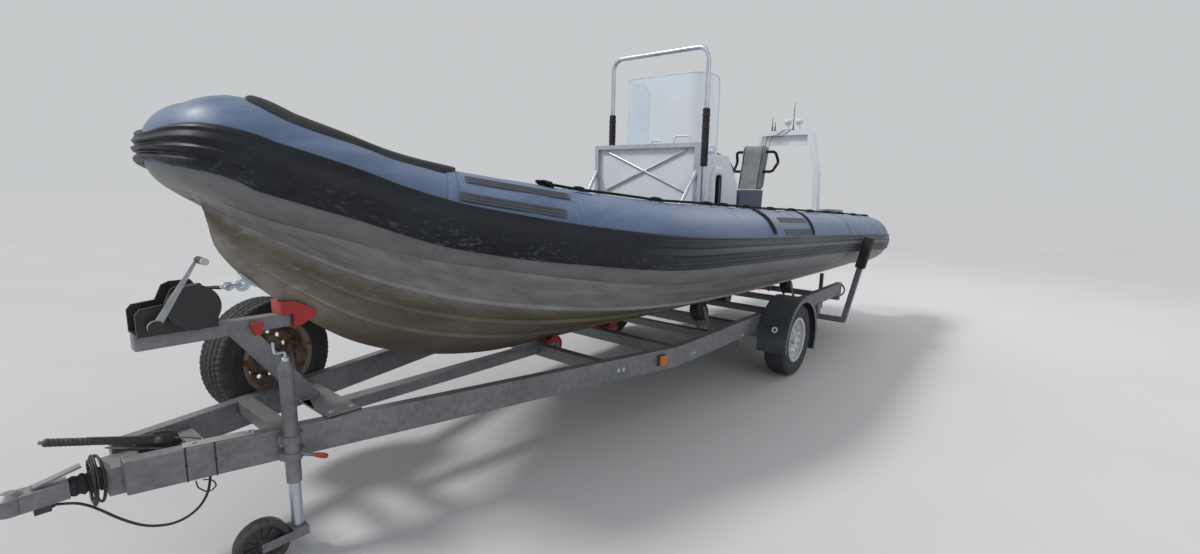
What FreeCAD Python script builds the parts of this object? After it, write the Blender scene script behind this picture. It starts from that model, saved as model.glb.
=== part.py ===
# Inflatable boat with a rigid hull, on its single-axle roller trailer.
# Millimetres. +X points to the bow, +Y to port and +Z up. The ground is Z = 0.
# Sizes and stations are written from the wheel axle; each finished piece is then
# placed at axle_x, so that the origin lies under the middle of the whole length.
import FreeCAD
import Part
import Sketcher
import math
import os
import re
from FreeCAD import Placement, Rotation, Vector

X_AXIS, Y_AXIS, Z_AXIS = Vector(1, 0, 0), Vector(0, 1, 0), Vector(0, 0, 1)
SIDES = (("port", 1), ("starboard", -1))

# Driving dimensions: alias, value in mm or degrees
SIZES = [
    ("axle_x", -903.5), ("seat_gap", 0.3), ("bond_gap", 0.7),
    ("tyre_radius", 315), ("tyre_width", 195), ("rim_radius", 183), ("rim_width", 165),
    ("wheel_y", 990), ("disc_thickness", 8), ("disc_inset", 38), ("hub_radius", 112),
    ("hub_gap", 6), ("stub_radius", 20), ("running_fit", 0.05),
    ("beam_top", 553), ("beam_depth", 138), ("beam_width", 60), ("beam_y", 827),
    ("beam_kink_x", 1609), ("beam_front_x", 4352), ("beam_rear_x", -1950),
    ("beam_inward_slope", 0.263),
    ("axle_tube", 88), ("axle_tube_x", 165), ("arm_thickness", 24), ("arm_depth", 76),
    ("cross_depth", 80), ("cross_width", 60), ("cross_drop", 45), ("low_cross_depth", 60),
    ("centre_beam_width", 80), ("centre_beam_depth", 60), ("centre_beam_top", 505),
    ("centre_beam_front_x", 3560), ("guard_clearance", 57), ("guard_thickness", 6),
    ("guard_inner_y", 866), ("guard_outer_y", 1118), ("guard_lip", 40),
    ("guard_foot_drop", 70), ("guard_bracket", 6), ("reflector_y", 1010),
    ("marker_x", 1760), ("rim_hole_radius", 13),
    ("deck_panel", 15), ("transom_thickness", 60), ("transom_top", 1370),
    ("transom_play", 1.8),
    ("transom_well_z", 1180), ("transom_well_half", 330), ("engine_bolt_spacing", 327),
    ("engine_bolt_radius", 6.5), ("engine_bolt_drop", 60),
    ("band_thickness", 17),
    ("pad_thickness", 24), ("patch_thickness", 8), ("line_radius", 7), ("line_angle", 84),
    ("console_front_x", 790), ("console_rear_x", -60), ("console_half", 400),
    ("console_wall", 12), ("console_top", 1885), ("dash_low", 1640), ("dash_x", 150),
    ("hatch_low", 1250), ("hatch_high", 1722), ("hatch_front_x", 398), ("hatch_rear_x", 262),
    ("tube_radius", 19), ("hoop_x", 705), ("hoop_half", 470), ("hoop_top", 2687),
    ("hoop_bend", 95), ("sleeve_low", 1770), ("sleeve_high", 2222), ("sleeve_wall", 11),
    ("frame_x", 866), ("frame_half", 500), ("frame_top", 1945), ("frame_low", 1240),
    ("frame_tube", 34), ("frame_panel", 5), ("brace_radius", 9),
    ("cross_half", 400), ("cross_high", 1895), ("cross_low", 1565),
    ("screen_half", 430), ("screen_top", 2520), ("screen_wall", 6),
    ("screen_rear_x", 300), ("screen_front_x", 668),
    ("helm_radius", 190), ("helm_rim", 14), ("helm_shaft_radius", 12),
    ("helm_y", 140), ("seat_y", 200), ("seat_front_x", -690), ("seat_rear_x", -825),
    ("seat_half", 116), ("seat_low", 1590), ("seat_top", 2045), ("seat_lean", 110),
    ("pedestal_half", 112), ("pedestal_front_x", -290), ("pedestal_rear_x", -835),
    ("loop_radius", 14), ("arch_x", -2130), ("arch_top", 2307), ("arch_top_half", 305),
    ("arch_kink_z", 1800), ("arch_kink_half", 405), ("arch_foot_half", 440),
    ("arch_width", 100), ("arch_depth", 60), ("antenna_radius", 48),
    ("gear_x", 4074), ("gear_radius", 92), ("drum_radius", 62), ("winch_half", 72),
    ("cheek_thickness", 10), ("arm_top", 997), ("winch_arm_front", 4262),
    ("winch_arm_rear", 3690), ("winch_arm_depth", 62), ("winch_arm_width", 60),
    ("crank_ahead", 133), ("crank_back", 155), ("crank_rise", 255), ("snubber_half", 60),
    ("post_foot_x", 3615), ("post_head_x", 3908), ("front_cross_x", 3832),
    ("front_cross_width", 70), ("spare_x", 3568), ("spare_z", 665), ("spare_offset", 157),
    ("jockey_x", 3835), ("jockey_offset", 44), ("jockey_tube_radius", 30),
    ("jockey_leg_radius", 24), ("jockey_tube_top", 835), ("jockey_tube_low", 330),
    ("jockey_wheel_radius", 105), ("jockey_wheel_width", 62), ("jockey_trail", 142),
    ("jockey_fork_plate", 6), ("jockey_play", 0.4),
    ("coupling_x", 4644), ("coupling_z", 459), ("ball_radius", 25.4),
    ("guide_x", -1200), ("guide_tube", 50), ("guide_foot_z", 285), ("guide_foot_y", 1113),
    ("guide_top_z", 1150), ("guide_pad_low", 840), ("guide_pad", 84),
    ("roller_radius", 45), ("roller_width", 120), ("wobble_radius", 80), ("wobble_width", 88),
    ("wobble_y", 430),
    ("bracket_thickness", 6), ("post_y", 640), ("post_x", -1900), ("post_top", 640),
    ("brake_x", 4220), ("brake_y", 34), ("cable_radius", 5),
]

doc = FreeCAD.newDocument("boat_on_trailer")
sheet = doc.addObject("Spreadsheet::Sheet", "Sizes")
for row, (alias, size) in enumerate(SIZES, start=1):
    sheet.set("A%d" % row, alias)
    sheet.set("B%d" % row, str(size))
    sheet.setAlias("B%d" % row, alias)
doc.recompute()


class Named:
    """Reads a driving dimension of the sheet as a plain number."""
    def __getattr__(self, alias):
        return float(sheet.get(alias))


S = Named()
ALIASES = {alias for alias, size in SIZES}


def bind(piece, prop, size):
    """Binds a property to an expression of aliases, or sets a worked-out number."""
    if isinstance(size, str):
        piece.setExpression(prop, re.sub(r"[a-z_]+", lambda m: "Sizes." + m.group(0)
                                         if m.group(0) in ALIASES else m.group(0), size))
    else:
        setattr(piece, prop, float(size))


def box(label, size, centre, turn=Rotation()):
    block = doc.addObject("Part::Box", label)
    for prop, text in zip(("Length", "Width", "Height"), size):
        bind(block, prop, text)
    block.recompute()
    half = Vector(block.Length.Value, block.Width.Value, block.Height.Value) * 0.5
    block.Placement = Placement(Vector(*centre) - turn.multVec(half), turn)
    return block


def bar(label, width, depth, start, end, up=Z_AXIS):
    """A square-cut bar from start to end; width lies across, depth towards up."""
    start, end = Vector(*start), Vector(*end)
    along = end - start
    turn = Rotation(along, up.cross(along), up, "XZY")
    return box(label, (along.Length, width, depth), (start + end) * 0.5, turn)


def rod(label, radius, start, end):
    start, end = Vector(*start), Vector(*end)
    piece = doc.addObject("Part::Cylinder", label)
    bind(piece, "Radius", radius)
    piece.Height = (end - start).Length
    piece.Placement = Placement(start, Rotation(Z_AXIS, end - start))
    return piece


def cone(label, radius_start, radius_end, start, end):
    start, end = Vector(*start), Vector(*end)
    piece = doc.addObject("Part::Cone", label)
    bind(piece, "Radius1", radius_start)
    bind(piece, "Radius2", radius_end)
    piece.Height = (end - start).Length
    piece.Placement = Placement(start, Rotation(Z_AXIS, end - start))
    return piece


def ring(label, radius, thickness, centre, axis):
    piece = doc.addObject("Part::Torus", label)
    bind(piece, "Radius1", radius)
    bind(piece, "Radius2", thickness)
    piece.Placement = Placement(Vector(*centre), Rotation(Z_AXIS, axis))
    return piece


def prism(label, outline, direction, length):
    """A flat outline of corner points, pushed out along direction."""
    flat = doc.addObject("Part::Polygon", label + "_outline")
    flat.Nodes = [Vector(*corner) for corner in outline]
    flat.Close = True
    solid = doc.addObject("Part::Extrusion", label)
    solid.Base = flat
    solid.DirMode = "Custom"
    solid.Dir = direction
    solid.Solid = True
    bind(solid, "LengthFwd", length)
    return solid


BENDS = {}


def pipe(label, radius, corners, bend):
    """A round tube through corner points, with a tangent arc at each inner corner.

    bend is one radius for every corner, or None for arcs as large as the runs allow.
    """
    points = [Vector(*corner) for corner in corners]
    edges, here = [], points[0]
    for before, corner, after in zip(points, points[1:], points[2:]):
        into, out = (corner - before).normalize(), (after - corner).normalize()
        half_turn = into.getAngle(out) / 2
        shorter = min((corner - before).Length, (after - corner).Length)
        reach = 0.45 * shorter if bend is None else bend * math.tan(half_turn)
        radius_here = reach / math.tan(half_turn)
        BENDS.setdefault(label, []).append(radius_here)
        start, end = corner - into * reach, corner + out * reach
        inward = (out - into).normalize()
        middle = corner + inward * (radius_here / math.cos(half_turn) - radius_here)
        edges.append(Part.LineSegment(here, start).toShape())
        edges.append(Part.Arc(start, middle, end).toShape())
        here = end
    edges.append(Part.LineSegment(here, points[-1]).toShape())
    route = doc.addObject("Part::Feature", label + "_route")
    route.Shape = Part.Wire(edges)
    section = doc.addObject("Part::Circle", label + "_section")
    bind(section, "Radius", radius)
    section.Placement = Placement(points[0], Rotation(Z_AXIS, points[1] - points[0]))
    sweep = doc.addObject("Part::Sweep", label)
    sweep.Sections = [section]
    sweep.Spine = (route, ["Edge%d" % (i + 1) for i in range(len(edges))])
    sweep.Solid = True
    return sweep


def fuse(label, pieces):
    joined = doc.addObject("Part::MultiFuse", label)
    joined.Shapes = pieces
    return joined


def cut(label, base, tool):
    left = doc.addObject("Part::Cut", label)
    left.Base = base
    left.Tool = tool
    return left


NODES = []


def node(label, pieces):
    """Gathers the solids of one named piece and puts them in the part's frame."""
    group = doc.addObject("Part::Compound", label)
    group.Label = label
    group.Links = pieces
    group.setExpression("Placement.Base.x", "Sizes.axle_x")
    NODES.append(group)
    return group


def solid_node(label, solids):
    """A piece whose faces are ruled between stations, as no primitive has its form."""
    piece = doc.addObject("Part::Feature", label)
    piece.Label = label
    piece.Shape = solids[0] if len(solids) == 1 else Part.makeCompound(solids)
    piece.Placement = Placement(Vector(S.axle_x, 0, 0), Rotation())
    piece.setExpression("Placement.Base.x", "Sizes.axle_x")
    NODES.append(piece)
    return piece


# Sections of a revolved body: the outline is bound to the sheet point by point
def turned_body(label, outline, placement):
    """Revolves an outline of (radius, along) texts about the body's own Z axis."""
    body = doc.addObject("PartDesign::Body", label)
    sketch = body.newObject("Sketcher::SketchObject", label + "_sketch")
    plane = [f for f in body.Origin.OriginFeatures if f.Role == "XZ_Plane"][0]
    sketch.AttachmentSupport = [(plane, "")]
    sketch.MapMode = "FlatFace"
    count = len(outline)
    # a coarse polygon stands in until the constraints pull it to its sizes
    for i in range(count):
        a, b = 2 * math.pi * i / count, 2 * math.pi * (i + 1) / count
        sketch.addGeometry(Part.LineSegment(
            Vector(200 - 50 * math.cos(a), 50 * math.sin(a), 0),
            Vector(200 - 50 * math.cos(b), 50 * math.sin(b), 0)), False)
    for i in range(count):
        sketch.addConstraint(Sketcher.Constraint("Coincident", i, 2, (i + 1) % count, 1))
    for i, corner in enumerate(outline):
        start = sketch.Geometry[i].StartPoint
        for kind, now, text in zip(("DistanceX", "DistanceY"), (start.x, start.y), corner):
            index = sketch.addConstraint(Sketcher.Constraint(kind, -1, 1, i, 1, now or 1.0))
            bind(sketch, "Constraints[%d]" % index, text)
    turned = body.newObject("PartDesign::Revolution", label + "_turned")
    turned.Profile = sketch
    turned.ReferenceAxis = (sketch, ["V_Axis"])
    turned.Angle = 360
    doc.recompute()
    body.Placement = placement
    return body


# Stations of the boat, from the stern cones to the nose. The collar runs along the
# centre (x, y, z) with its radius, and the angles between which the rub band lies; the
# hull has a keel point, a chine point, the angles round the collar where its side and
# its deck meet it, and the deck's middle.
COLLAR = ["x", "y", "z", "radius", "band_low", "band_top"]
CONE_STATIONS = [
    (-2870, 890, 1022, 115, -22, 16.5),
    (-2760, 897, 1026, 190, -22, 16.5),
    (-2560, 911, 1032, 245, -22, 16.5),
]
COLUMNS = COLLAR + ["keel_x", "keel_z", "chine_x", "chine_y", "chine_z",
                    "side_angle", "deck_angle", "deck_x"]
HULL_STATIONS = [
    (-2300, 930, 1042, 261, -22, 16.5, -2300, 470, -2300, 806, 742, -72, -152, -2300),
    (-1750, 941, 1074, 260, -22, 16.5, -1750, 474, -1750, 807, 748, -67, -144, -1750),
    (-1200, 950, 1104, 259, -22, 16.5, -1200, 478, -1200, 808, 754, -62, -137, -1200),
    (-700, 951, 1130, 258, -22, 16.5, -700, 482, -700, 807, 761, -60, -132, -700),
    (-200, 952, 1154, 257, -22, 16.5, -200, 485, -200, 806, 768, -58, -127, -200),
    (800, 962, 1200, 255, -22, 16.5, 800, 497, 800, 800, 792, -58, -121, 800),
    (1500, 957, 1238, 254, -24, 16.5, 1500, 512, 1500, 780, 826, -58, -117, 1500),
    (2050, 893, 1271, 252, -28, 17, 2050, 525, 2050, 716, 872, -58, -113, 2050),
    (2560, 741, 1335, 242, -29, 17.5, 2560, 552, 2560, 596, 940, -58, -110, 2560),
    (2900, 604, 1393, 232, -33, 18.5, 2900, 614, 2900, 480, 1004, -60, -108, 2880),
    (3200, 489, 1452, 222, -33, 20, 3200, 706, 3200, 366, 1086, -63, -106, 3170),
    (3450, 406, 1519, 214, -28, 24, 3450, 829, 3450, 268, 1180, -66, -105, 3410),
    (3650, 343, 1594, 213, -28, 25.5, 3650, 982, 3650, 186, 1280, -70, -105, 3590),
    (3800, 272, 1655, 212, -27, 26, 3793, 1114, 3800, 118, 1368, -74, -105, 3710),
    (3908, 196, 1712, 210, -22, 25, 3899, 1224, 3904, 64, 1434, -78, -105, 3800),
    (3962, 100, 1716, 192, -18, 22, 3961, 1330, 3966, 26, 1484, -80, -105, 3850),
    (3994, 0, 1712, 165, -15, 21, 3977, 1440, 3996, 0, 1508, -82, -105, 3878),
]
TRANSOM = len(CONE_STATIONS)
RAILS = (0.36, 0.66)
RAIL_SHARE = 0.055


class Station:
    """One station of the port side: the collar's circle and the hull's own points."""

    def __init__(self, columns):
        for name, size in zip(COLUMNS, columns):
            setattr(self, name, float(size))
        self.centre = Vector(self.x, self.y, self.z)

    def aim(self, along):
        self.outward = Z_AXIS.cross(along).normalize()
        self.upward = along.cross(self.outward).normalize()

    def round_point(self, angle, distance):
        """A point about the collar's centre; 0 degrees is outward, 90 is up."""
        turn = math.radians(angle)
        return (self.centre + self.outward * (distance * math.cos(turn))
                + self.upward * (distance * math.sin(turn)))


def make_stations():
    rows = [Station(columns) for columns in CONE_STATIONS + HULL_STATIONS]
    for i, row in enumerate(rows):
        behind, ahead = rows[max(i - 1, 0)], rows[min(i + 1, len(rows) - 1)]
        along = ahead.centre - behind.centre
        if i == TRANSOM:
            along = X_AXIS
        if i == len(rows) - 1:
            along = Y_AXIS * -1
        row.aim(along.normalize())
    return rows


STATIONS = make_stations()
HULL = STATIONS[TRANSOM:]
NOSE = len(STATIONS) - 1
BOW_SEAM = NOSE - 6
GRIP_SEAM = NOSE - 8


def row_at(x):
    """A station between two others, with its circle on the ruled collar."""
    for near, far in zip(STATIONS, STATIONS[1:]):
        if near.x <= x <= far.x:
            share = (x - near.x) / (far.x - near.x)
            row = Station([getattr(near, name) * (1 - share) + getattr(far, name) * share
                           for name in COLLAR])
            for side in ("outward", "upward"):
                first, last = getattr(near, side), getattr(far, side)
                setattr(row, side, (first * (near.radius * (1 - share))
                                    + last * (far.radius * share)) * (1 / row.radius))
            return row
    raise ValueError("the place is off the collar")


def to_starboard(point):
    return Vector(point.x, -point.y, point.z)


def both_sides(rows, section):
    """Sections from the port stern round the nose to the starboard stern."""
    port = [section(row) for row in rows]
    starboard = [[to_starboard(point) for point in points] for points in port[-2::-1]]
    return port + starboard


def circle_wire(points):
    """Two half circles through four points at 0, 90, 180 and 270 degrees."""
    return Part.Wire([Part.Arc(points[0], points[1], points[2]).toShape(),
                      Part.Arc(points[2], points[3], points[0]).toShape()])


def collar_section(row):
    return [row.round_point(angle, row.radius) for angle in (0, 90, 180, 270)]


def collar_solid(sections):
    return Part.makeLoft([circle_wire(points) for points in sections], True, True)


def skin(first, second, third, fourth):
    """One ruled face between two lines, as a triangle where two corners meet."""
    if first.distanceToPoint(second) < 1e-6 or third.distanceToPoint(fourth) < 1e-6:
        raise ValueError("two corners of one face meet")
    return Part.makeRuledSurface(Part.LineSegment(first, second).toShape(),
                                 Part.LineSegment(fourth, third).toShape())


def flat_end(points):
    return [Part.Face(Part.makePolygon(points + points[:1]))]


def folded_end(points):
    """The end of a folded panel: one flat face on each side of its middle."""
    port, middle, starboard, starboard_up, middle_up, port_up = points
    return [skin(port, middle, middle_up, port_up),
            skin(middle, starboard, starboard_up, middle_up)]


def ruled_solid(sections, end_faces=flat_end):
    """A closed skin through sections that all have as many corners."""
    faces = []
    for near, far in zip(sections, sections[1:]):
        for k in range(len(near)):
            after = (k + 1) % len(near)
            faces.append(skin(near[k], near[after], far[after], far[k]))
    for points in (sections[0], sections[-1]):
        faces += end_faces(points)
    shell = Part.makeShell(faces)
    shell.sewShape()
    solid = Part.makeSolid(shell)
    if solid.Volume < 0:
        solid.reverse()
    return solid


def band_section(row, low, high, steps, outline):
    """A strip on the collar: chords clear of its round, and an outline of (share, rise)."""
    half_step = (high - low) / steps / 2
    seat = (row.radius + S.seat_gap) / math.cos(math.radians(half_step))
    under = [row.round_point(low + (high - low) * k / steps, seat) for k in range(steps + 1)]
    over = [row.round_point(low + (high - low) * share, seat + rise)
            for share, rise in reversed(outline)]
    return under + over


def rub_outline():
    thick, groove = S.band_thickness, S.band_thickness * 0.6
    return [(0.0, 5), (0.06, thick), (0.2, thick), (0.24, groove), (0.44, groove),
            (0.48, thick), (0.6, thick), (0.64, groove), (0.82, groove), (0.86, thick),
            (0.95, thick), (1.0, 5)]


def flat_outline(thickness):
    return [(0.0, thickness), (0.5, thickness), (1.0, thickness)]


def hull_section(row):
    """Half of the hull, from the keel out along the bottom and back along the deck."""
    keel = Vector(row.keel_x, 0, row.keel_z)
    chine = Vector(row.chine_x, row.chine_y, row.chine_z)
    points = [keel]
    for share in RAILS:
        inner = keel + (chine - keel) * share
        outer = keel + (chine - keel) * (share + RAIL_SHARE)
        points += [inner, Vector(outer.x, outer.y, inner.z), outer]
    lip = keel + (chine - keel) * (1 - RAIL_SHARE)
    points += [lip, Vector(chine.x, chine.y, lip.z), chine]
    steps = 3
    sweep = row.deck_angle - row.side_angle
    seat = (row.radius + S.bond_gap) / math.cos(math.radians(sweep / steps / 2))
    points += [row.round_point(row.side_angle + sweep * k / steps, seat)
               for k in range(steps + 1)]
    points.append(Vector(row.deck_x, 0, points[-1].z))
    return points


HULL_SECTIONS = [hull_section(row) for row in HULL]


def hull_loop(points):
    """The whole section: port from the keel to the deck, and back down to starboard."""
    return points + [to_starboard(point) for point in points[-2:0:-1]]


def hull_solid():
    """The halves close on each other along the stem, so only the stern has an end."""
    faces = []
    for near, far in zip(HULL_SECTIONS, HULL_SECTIONS[1:]):
        for k in range(len(near) - 1):
            corners = (near[k], near[k + 1], far[k + 1], far[k])
            faces.append(skin(*corners))
            faces.append(skin(*[to_starboard(point) for point in corners]))
    loop = hull_loop(HULL_SECTIONS[0])
    faces.append(Part.Face(Part.makePolygon(loop + loop[:1])))
    shell = Part.makeShell(faces)
    shell.sewShape()
    solid = Part.makeSolid(shell)
    if solid.Volume < 0:
        solid.reverse()
    return solid


def between(rows, x, value):
    """Straight-line reading of a value between the stations of the hull."""
    for near, far in zip(rows, rows[1:]):
        if x <= far[0]:
            share = (x - near[0]) / (far[0] - near[0])
            return value(near[1]) + (value(far[1]) - value(near[1])) * share
    raise ValueError("the place is ahead of the hull's last station")


ROWS = [(row.keel_x, points) for row, points in zip(HULL, HULL_SECTIONS)]


def bottom_z(x, y):
    """Height of the hull's bottom, out to the chine."""
    last = 10
    corners = [(between(ROWS, x, lambda points: points[k].y),
                between(ROWS, x, lambda points: points[k].z)) for k in range(last)]
    for (y0, z0), (y1, z1) in zip(corners, corners[1:]):
        if y0 <= abs(y) <= y1 and y1 > y0:
            return z0 + (z1 - z0) * (abs(y) - y0) / (y1 - y0)
    return corners[-1][1]


def deck_z(x):
    """Height of the deck panel's upper face."""
    return between(ROWS, x, lambda points: points[-1].z) + S.deck_panel


DECK_SHARE = 0.93
DECK_ROWS = slice(0, 9)


def deck_solid():
    sections = []
    for points in HULL_SECTIONS[DECK_ROWS]:
        middle = points[-1]
        edge = middle + (points[-2] - middle) * DECK_SHARE
        low = [edge, middle, to_starboard(edge)]
        rise = Vector(0, 0, S.deck_panel)
        sections.append(low + [point + rise for point in reversed(low)])
    return ruled_solid(sections, folded_end)


solid_node("hull", [hull_solid()])
solid_node("deck", [deck_solid()])

port_side = [collar_section(row) for row in STATIONS[:BOW_SEAM + 1]]
bow = both_sides(STATIONS[BOW_SEAM:], collar_section)
solid_node("collar_port", [collar_solid(port_side)])
solid_node("collar_starboard", [collar_solid(
    [[to_starboard(point) for point in points] for points in port_side])])
solid_node("collar_bow", [collar_solid(bow)])

strake = both_sides(STATIONS[1:], lambda row: band_section(
    row, row.band_low, row.band_top, 3, rub_outline()))
solid_node("rub_strake", [ruled_solid(strake)])
bow_pad = [band_section(row, 60, 115, 3, flat_outline(S.pad_thickness))
           for row in STATIONS[BOW_SEAM:NOSE - 1]]
solid_node("bow_pad", [ruled_solid(bow_pad), ruled_solid(
    [[to_starboard(point) for point in points] for points in bow_pad])])


def patch_solids(places, strips):
    """Strips between pairs of angles on each side's collar, along places."""
    solids = []
    for low, high in strips:
        port = [band_section(row_at(x), low, high, 1, flat_outline(S.patch_thickness))
                for x in places]
        starboard = [[to_starboard(point) for point in points] for points in port]
        solids += [ruled_solid(port), ruled_solid(starboard)]
    return solids


# bow grips between the two bow seams, and a boarding patch by the helm
solid_node("wear_patches",
           patch_solids((2690, 2900, 3170), [(22.5, 34.5), (50, 63)])
           + patch_solids((200, 790), [(19, 27), (31, 39), (43, 51)]))


def line_solid(rows):
    """The grab line lies straight from patch to patch along the collar's top."""
    points = [row.round_point(S.line_angle, row.radius + S.line_radius + S.seat_gap)
              for row in rows]
    sections = []
    for i, point in enumerate(points):
        along = points[min(i + 1, len(points) - 1)] - points[max(i - 1, 0)]
        across = Z_AXIS.cross(along).normalize()
        over = along.cross(across).normalize()
        sections.append([point + across * (S.line_radius * math.cos(math.radians(angle)))
                         + over * (S.line_radius * math.sin(math.radians(angle)))
                         for angle in range(0, 360, 60)])
    return sections


grab = line_solid(STATIONS[2:GRIP_SEAM + 1])
solid_node("grab_lines", [ruled_solid(grab), ruled_solid(
    [[to_starboard(point) for point in points] for points in grab])])


def at_deck(x, y, half=0.0):
    """A level foot on the sloping deck, clear of it over half its length each way."""
    return (x, y, max(deck_z(x - half), deck_z(x + half)) + S.seat_gap)


# Transom board between the collars, with a low middle for the engine
def transom_outline():
    stern, x = HULL[0], HULL[0].x - S.seat_gap
    bottom = [HULL_SECTIONS[0][0], HULL_SECTIONS[0][9]]
    steps = 5
    first, last = -118, -196
    seat = ((stern.radius + S.transom_play)
            / math.cos(math.radians((last - first) / steps / 2)))
    rim = [stern.round_point(first + (last - first) * k / steps, seat)
           for k in range(steps + 1)]
    port = [(x, point.y, point.z) for point in bottom + rim]
    port += [(x, rim[-1].y, S.transom_top), (x, S.transom_well_half + 60, S.transom_top),
             (x, S.transom_well_half, S.transom_well_z)]
    return port + [(x, -y, z) for x, y, z in port[:0:-1]]


board = prism("transom_board", transom_outline(), X_AXIS * -1, "transom_thickness")
bolt_z = S.transom_well_z - S.engine_bolt_drop
bolts = [rod("engine_bolt_%s" % side, "engine_bolt_radius",
             (HULL[0].x + 50, way * S.engine_bolt_spacing / 2, bolt_z),
             (HULL[0].x - 150, way * S.engine_bolt_spacing / 2, bolt_z))
         for side, way in SIDES]
node("transom", [cut("transom_bored", board, fuse("engine_bolts", bolts))])


# Tow eyes: one on the stem for the winch hook and two on the transom
def eye(label, foot, outward, up, hole, thickness):
    """A flat lug with a round hole, on a base plate that lies on the hull."""
    foot = Vector(*foot)
    middle = foot + outward * (hole * 2.0 + 4)
    across = outward.cross(up).normalize()
    lug = rod(label + "_lug", hole * 2.0, middle - across * (thickness / 2),
              middle + across * (thickness / 2))
    neck = bar(label + "_neck", thickness, hole * 4.0 - 4, foot, middle, up)
    hole_rod = rod(label + "_hole", hole, middle - across * 40, middle + across * 40)
    plate = bar(label + "_plate", 44, 90, foot, foot + outward * 6, up)
    return cut(label, fuse(label + "_whole", [lug, neck, plate]), hole_rod)


stem_low, stem_high = HULL_SECTIONS[-4][0], HULL_SECTIONS[-3][0]
stem_run = (stem_high - stem_low).normalize()
stem_out = Vector(stem_run.z, 0, -stem_run.x)
stem_foot = stem_low + (stem_high - stem_low) * 0.5 + stem_out * S.seat_gap
eyes = [eye("bow_eye", stem_foot, stem_out, stem_run, 14, 16)]
for side, way in SIDES:
    eyes.append(eye("stern_eye_" + side,
                    (HULL[0].x - S.transom_thickness - 2 * S.seat_gap, way * 470, 705),
                    X_AXIS * -1, Z_AXIS, 14, 16))
node("tow_eyes", eyes)


# Console: a hollow moulding, open underneath, with a hatch hole in its port side
def console_profile(inset):
    x0, x1 = S.console_front_x - inset, S.console_rear_x + inset
    top = S.console_top - inset
    return [(x0, deck_z(x0) + S.seat_gap), (x0, top - 330), (x0 - 60, top),
            (S.dash_x + inset, top), (x1, S.dash_low - inset),
            (x1, deck_z(x1) + S.seat_gap)]


def console_body():
    half, wall = S.console_half, S.console_wall
    outer = prism("console_outer", [(x, -half, z) for x, z in console_profile(0)],
                  Y_AXIS, "console_half*2")
    inner = [(x, -half + wall, z) for x, z in console_profile(wall)]
    inner[0] = (inner[0][0], inner[0][1], inner[0][2] - 50)
    inner[-1] = (inner[-1][0], inner[-1][1], inner[-1][2] - 50)
    hollow = prism("console_hollow", inner, Y_AXIS, "console_half*2 - console_wall*2")
    hatch = box("console_hatch", ("hatch_front_x - hatch_rear_x", "console_wall*4",
                                  "hatch_high - hatch_low"),
                ((S.hatch_front_x + S.hatch_rear_x) / 2, half,
                 (S.hatch_high + S.hatch_low) / 2))
    return cut("console_moulding", outer, fuse("console_openings", [hollow, hatch]))


console = console_body()
node("console", [console])

# Dash: two instrument boxes, a switch box, and the helm's hub plate
dash_run = Vector(S.dash_x - S.console_rear_x, 0, S.console_top - S.dash_low).normalize()
dash_out = Vector(-dash_run.z, 0, dash_run.x)
dash_turn = Rotation(dash_run, Y_AXIS, dash_out, "XZY")


def on_dash(along, y, rise):
    foot = Vector(S.console_rear_x, y, S.dash_low) + dash_run * along
    return foot + dash_out * (rise + S.seat_gap)


gauges = [rod("gauge_%d" % k, 44, on_dash(200, S.helm_y + aside, 0),
              on_dash(200, S.helm_y + aside, 22)) for k, aside in enumerate((-100, 0, 100))]
plotter = box("plotter", (150, 220, 60), on_dash(200, S.helm_y - 290, 30), dash_turn)
helm_plate = cut("helm_plate", rod("helm_disc", 58, on_dash(95, S.helm_y, 0),
                                   on_dash(95, S.helm_y, 40)),
                 rod("helm_bore", "helm_shaft_radius + running_fit",
                     on_dash(95, S.helm_y, 4), on_dash(95, S.helm_y, 60)))
node("instruments", gauges + [plotter, helm_plate])

# Windscreen: front pane and two side wings of clear sheet, on the console's top
screen_foot = S.console_top + S.seat_gap


def screen_plan():
    """Plan of the bent sheet: rear end, corner chamfers, front; outside then inside."""
    half, wall, chamfer = S.screen_half, S.screen_wall, 60
    outer = [(S.screen_rear_x, half - 70), (S.screen_front_x - 2 * chamfer, half),
             (S.screen_front_x, half - 2 * chamfer)]
    inner = [(x - wall * 0.9, y - wall) for x, y in outer]
    inner[0] = (S.screen_rear_x, outer[0][1] - wall)
    return outer, inner


def screen_solid():
    outer, inner = screen_plan()
    ring_points = outer + [(x, -y) for x, y in outer[::-1]]
    back = [(x, -y) for x, y in inner] + inner[::-1]
    return prism("screen_sheet", [(x, y, screen_foot) for x, y in ring_points + back],
                 Z_AXIS, S.screen_top - screen_foot)


node("windscreen", [screen_solid()])

# Roll hoop ahead of the screen, with its foot plates and foam sleeves
hoop_foot = at_deck(S.hoop_x, 0, 55)[2]
hoop = pipe("hoop_tube", "tube_radius",
            [(S.hoop_x, -S.hoop_half, hoop_foot), (S.hoop_x, -S.hoop_half, S.hoop_top),
             (S.hoop_x, S.hoop_half, S.hoop_top), (S.hoop_x, S.hoop_half, hoop_foot)],
            S.hoop_bend)
feet = [box("hoop_foot_" + side, (110, 90, 8), (S.hoop_x, way * S.hoop_half, hoop_foot + 4))
        for side, way in SIDES]
node("roll_hoop", [fuse("hoop_whole", [hoop] + feet)])
sleeves = []
for side, way in SIDES:
    low, high = ((S.hoop_x, way * S.hoop_half, z) for z in (S.sleeve_low, S.sleeve_high))
    sleeves.append(cut("sleeve_" + side,
                       rod("sleeve_out_" + side, "tube_radius + sleeve_wall", low, high),
                       rod("sleeve_bore_" + side, "tube_radius + seat_gap",
                           Vector(*low) - Z_AXIS * 10, Vector(*high) + Z_AXIS * 10)))
node("hoop_sleeves", sleeves)

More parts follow.
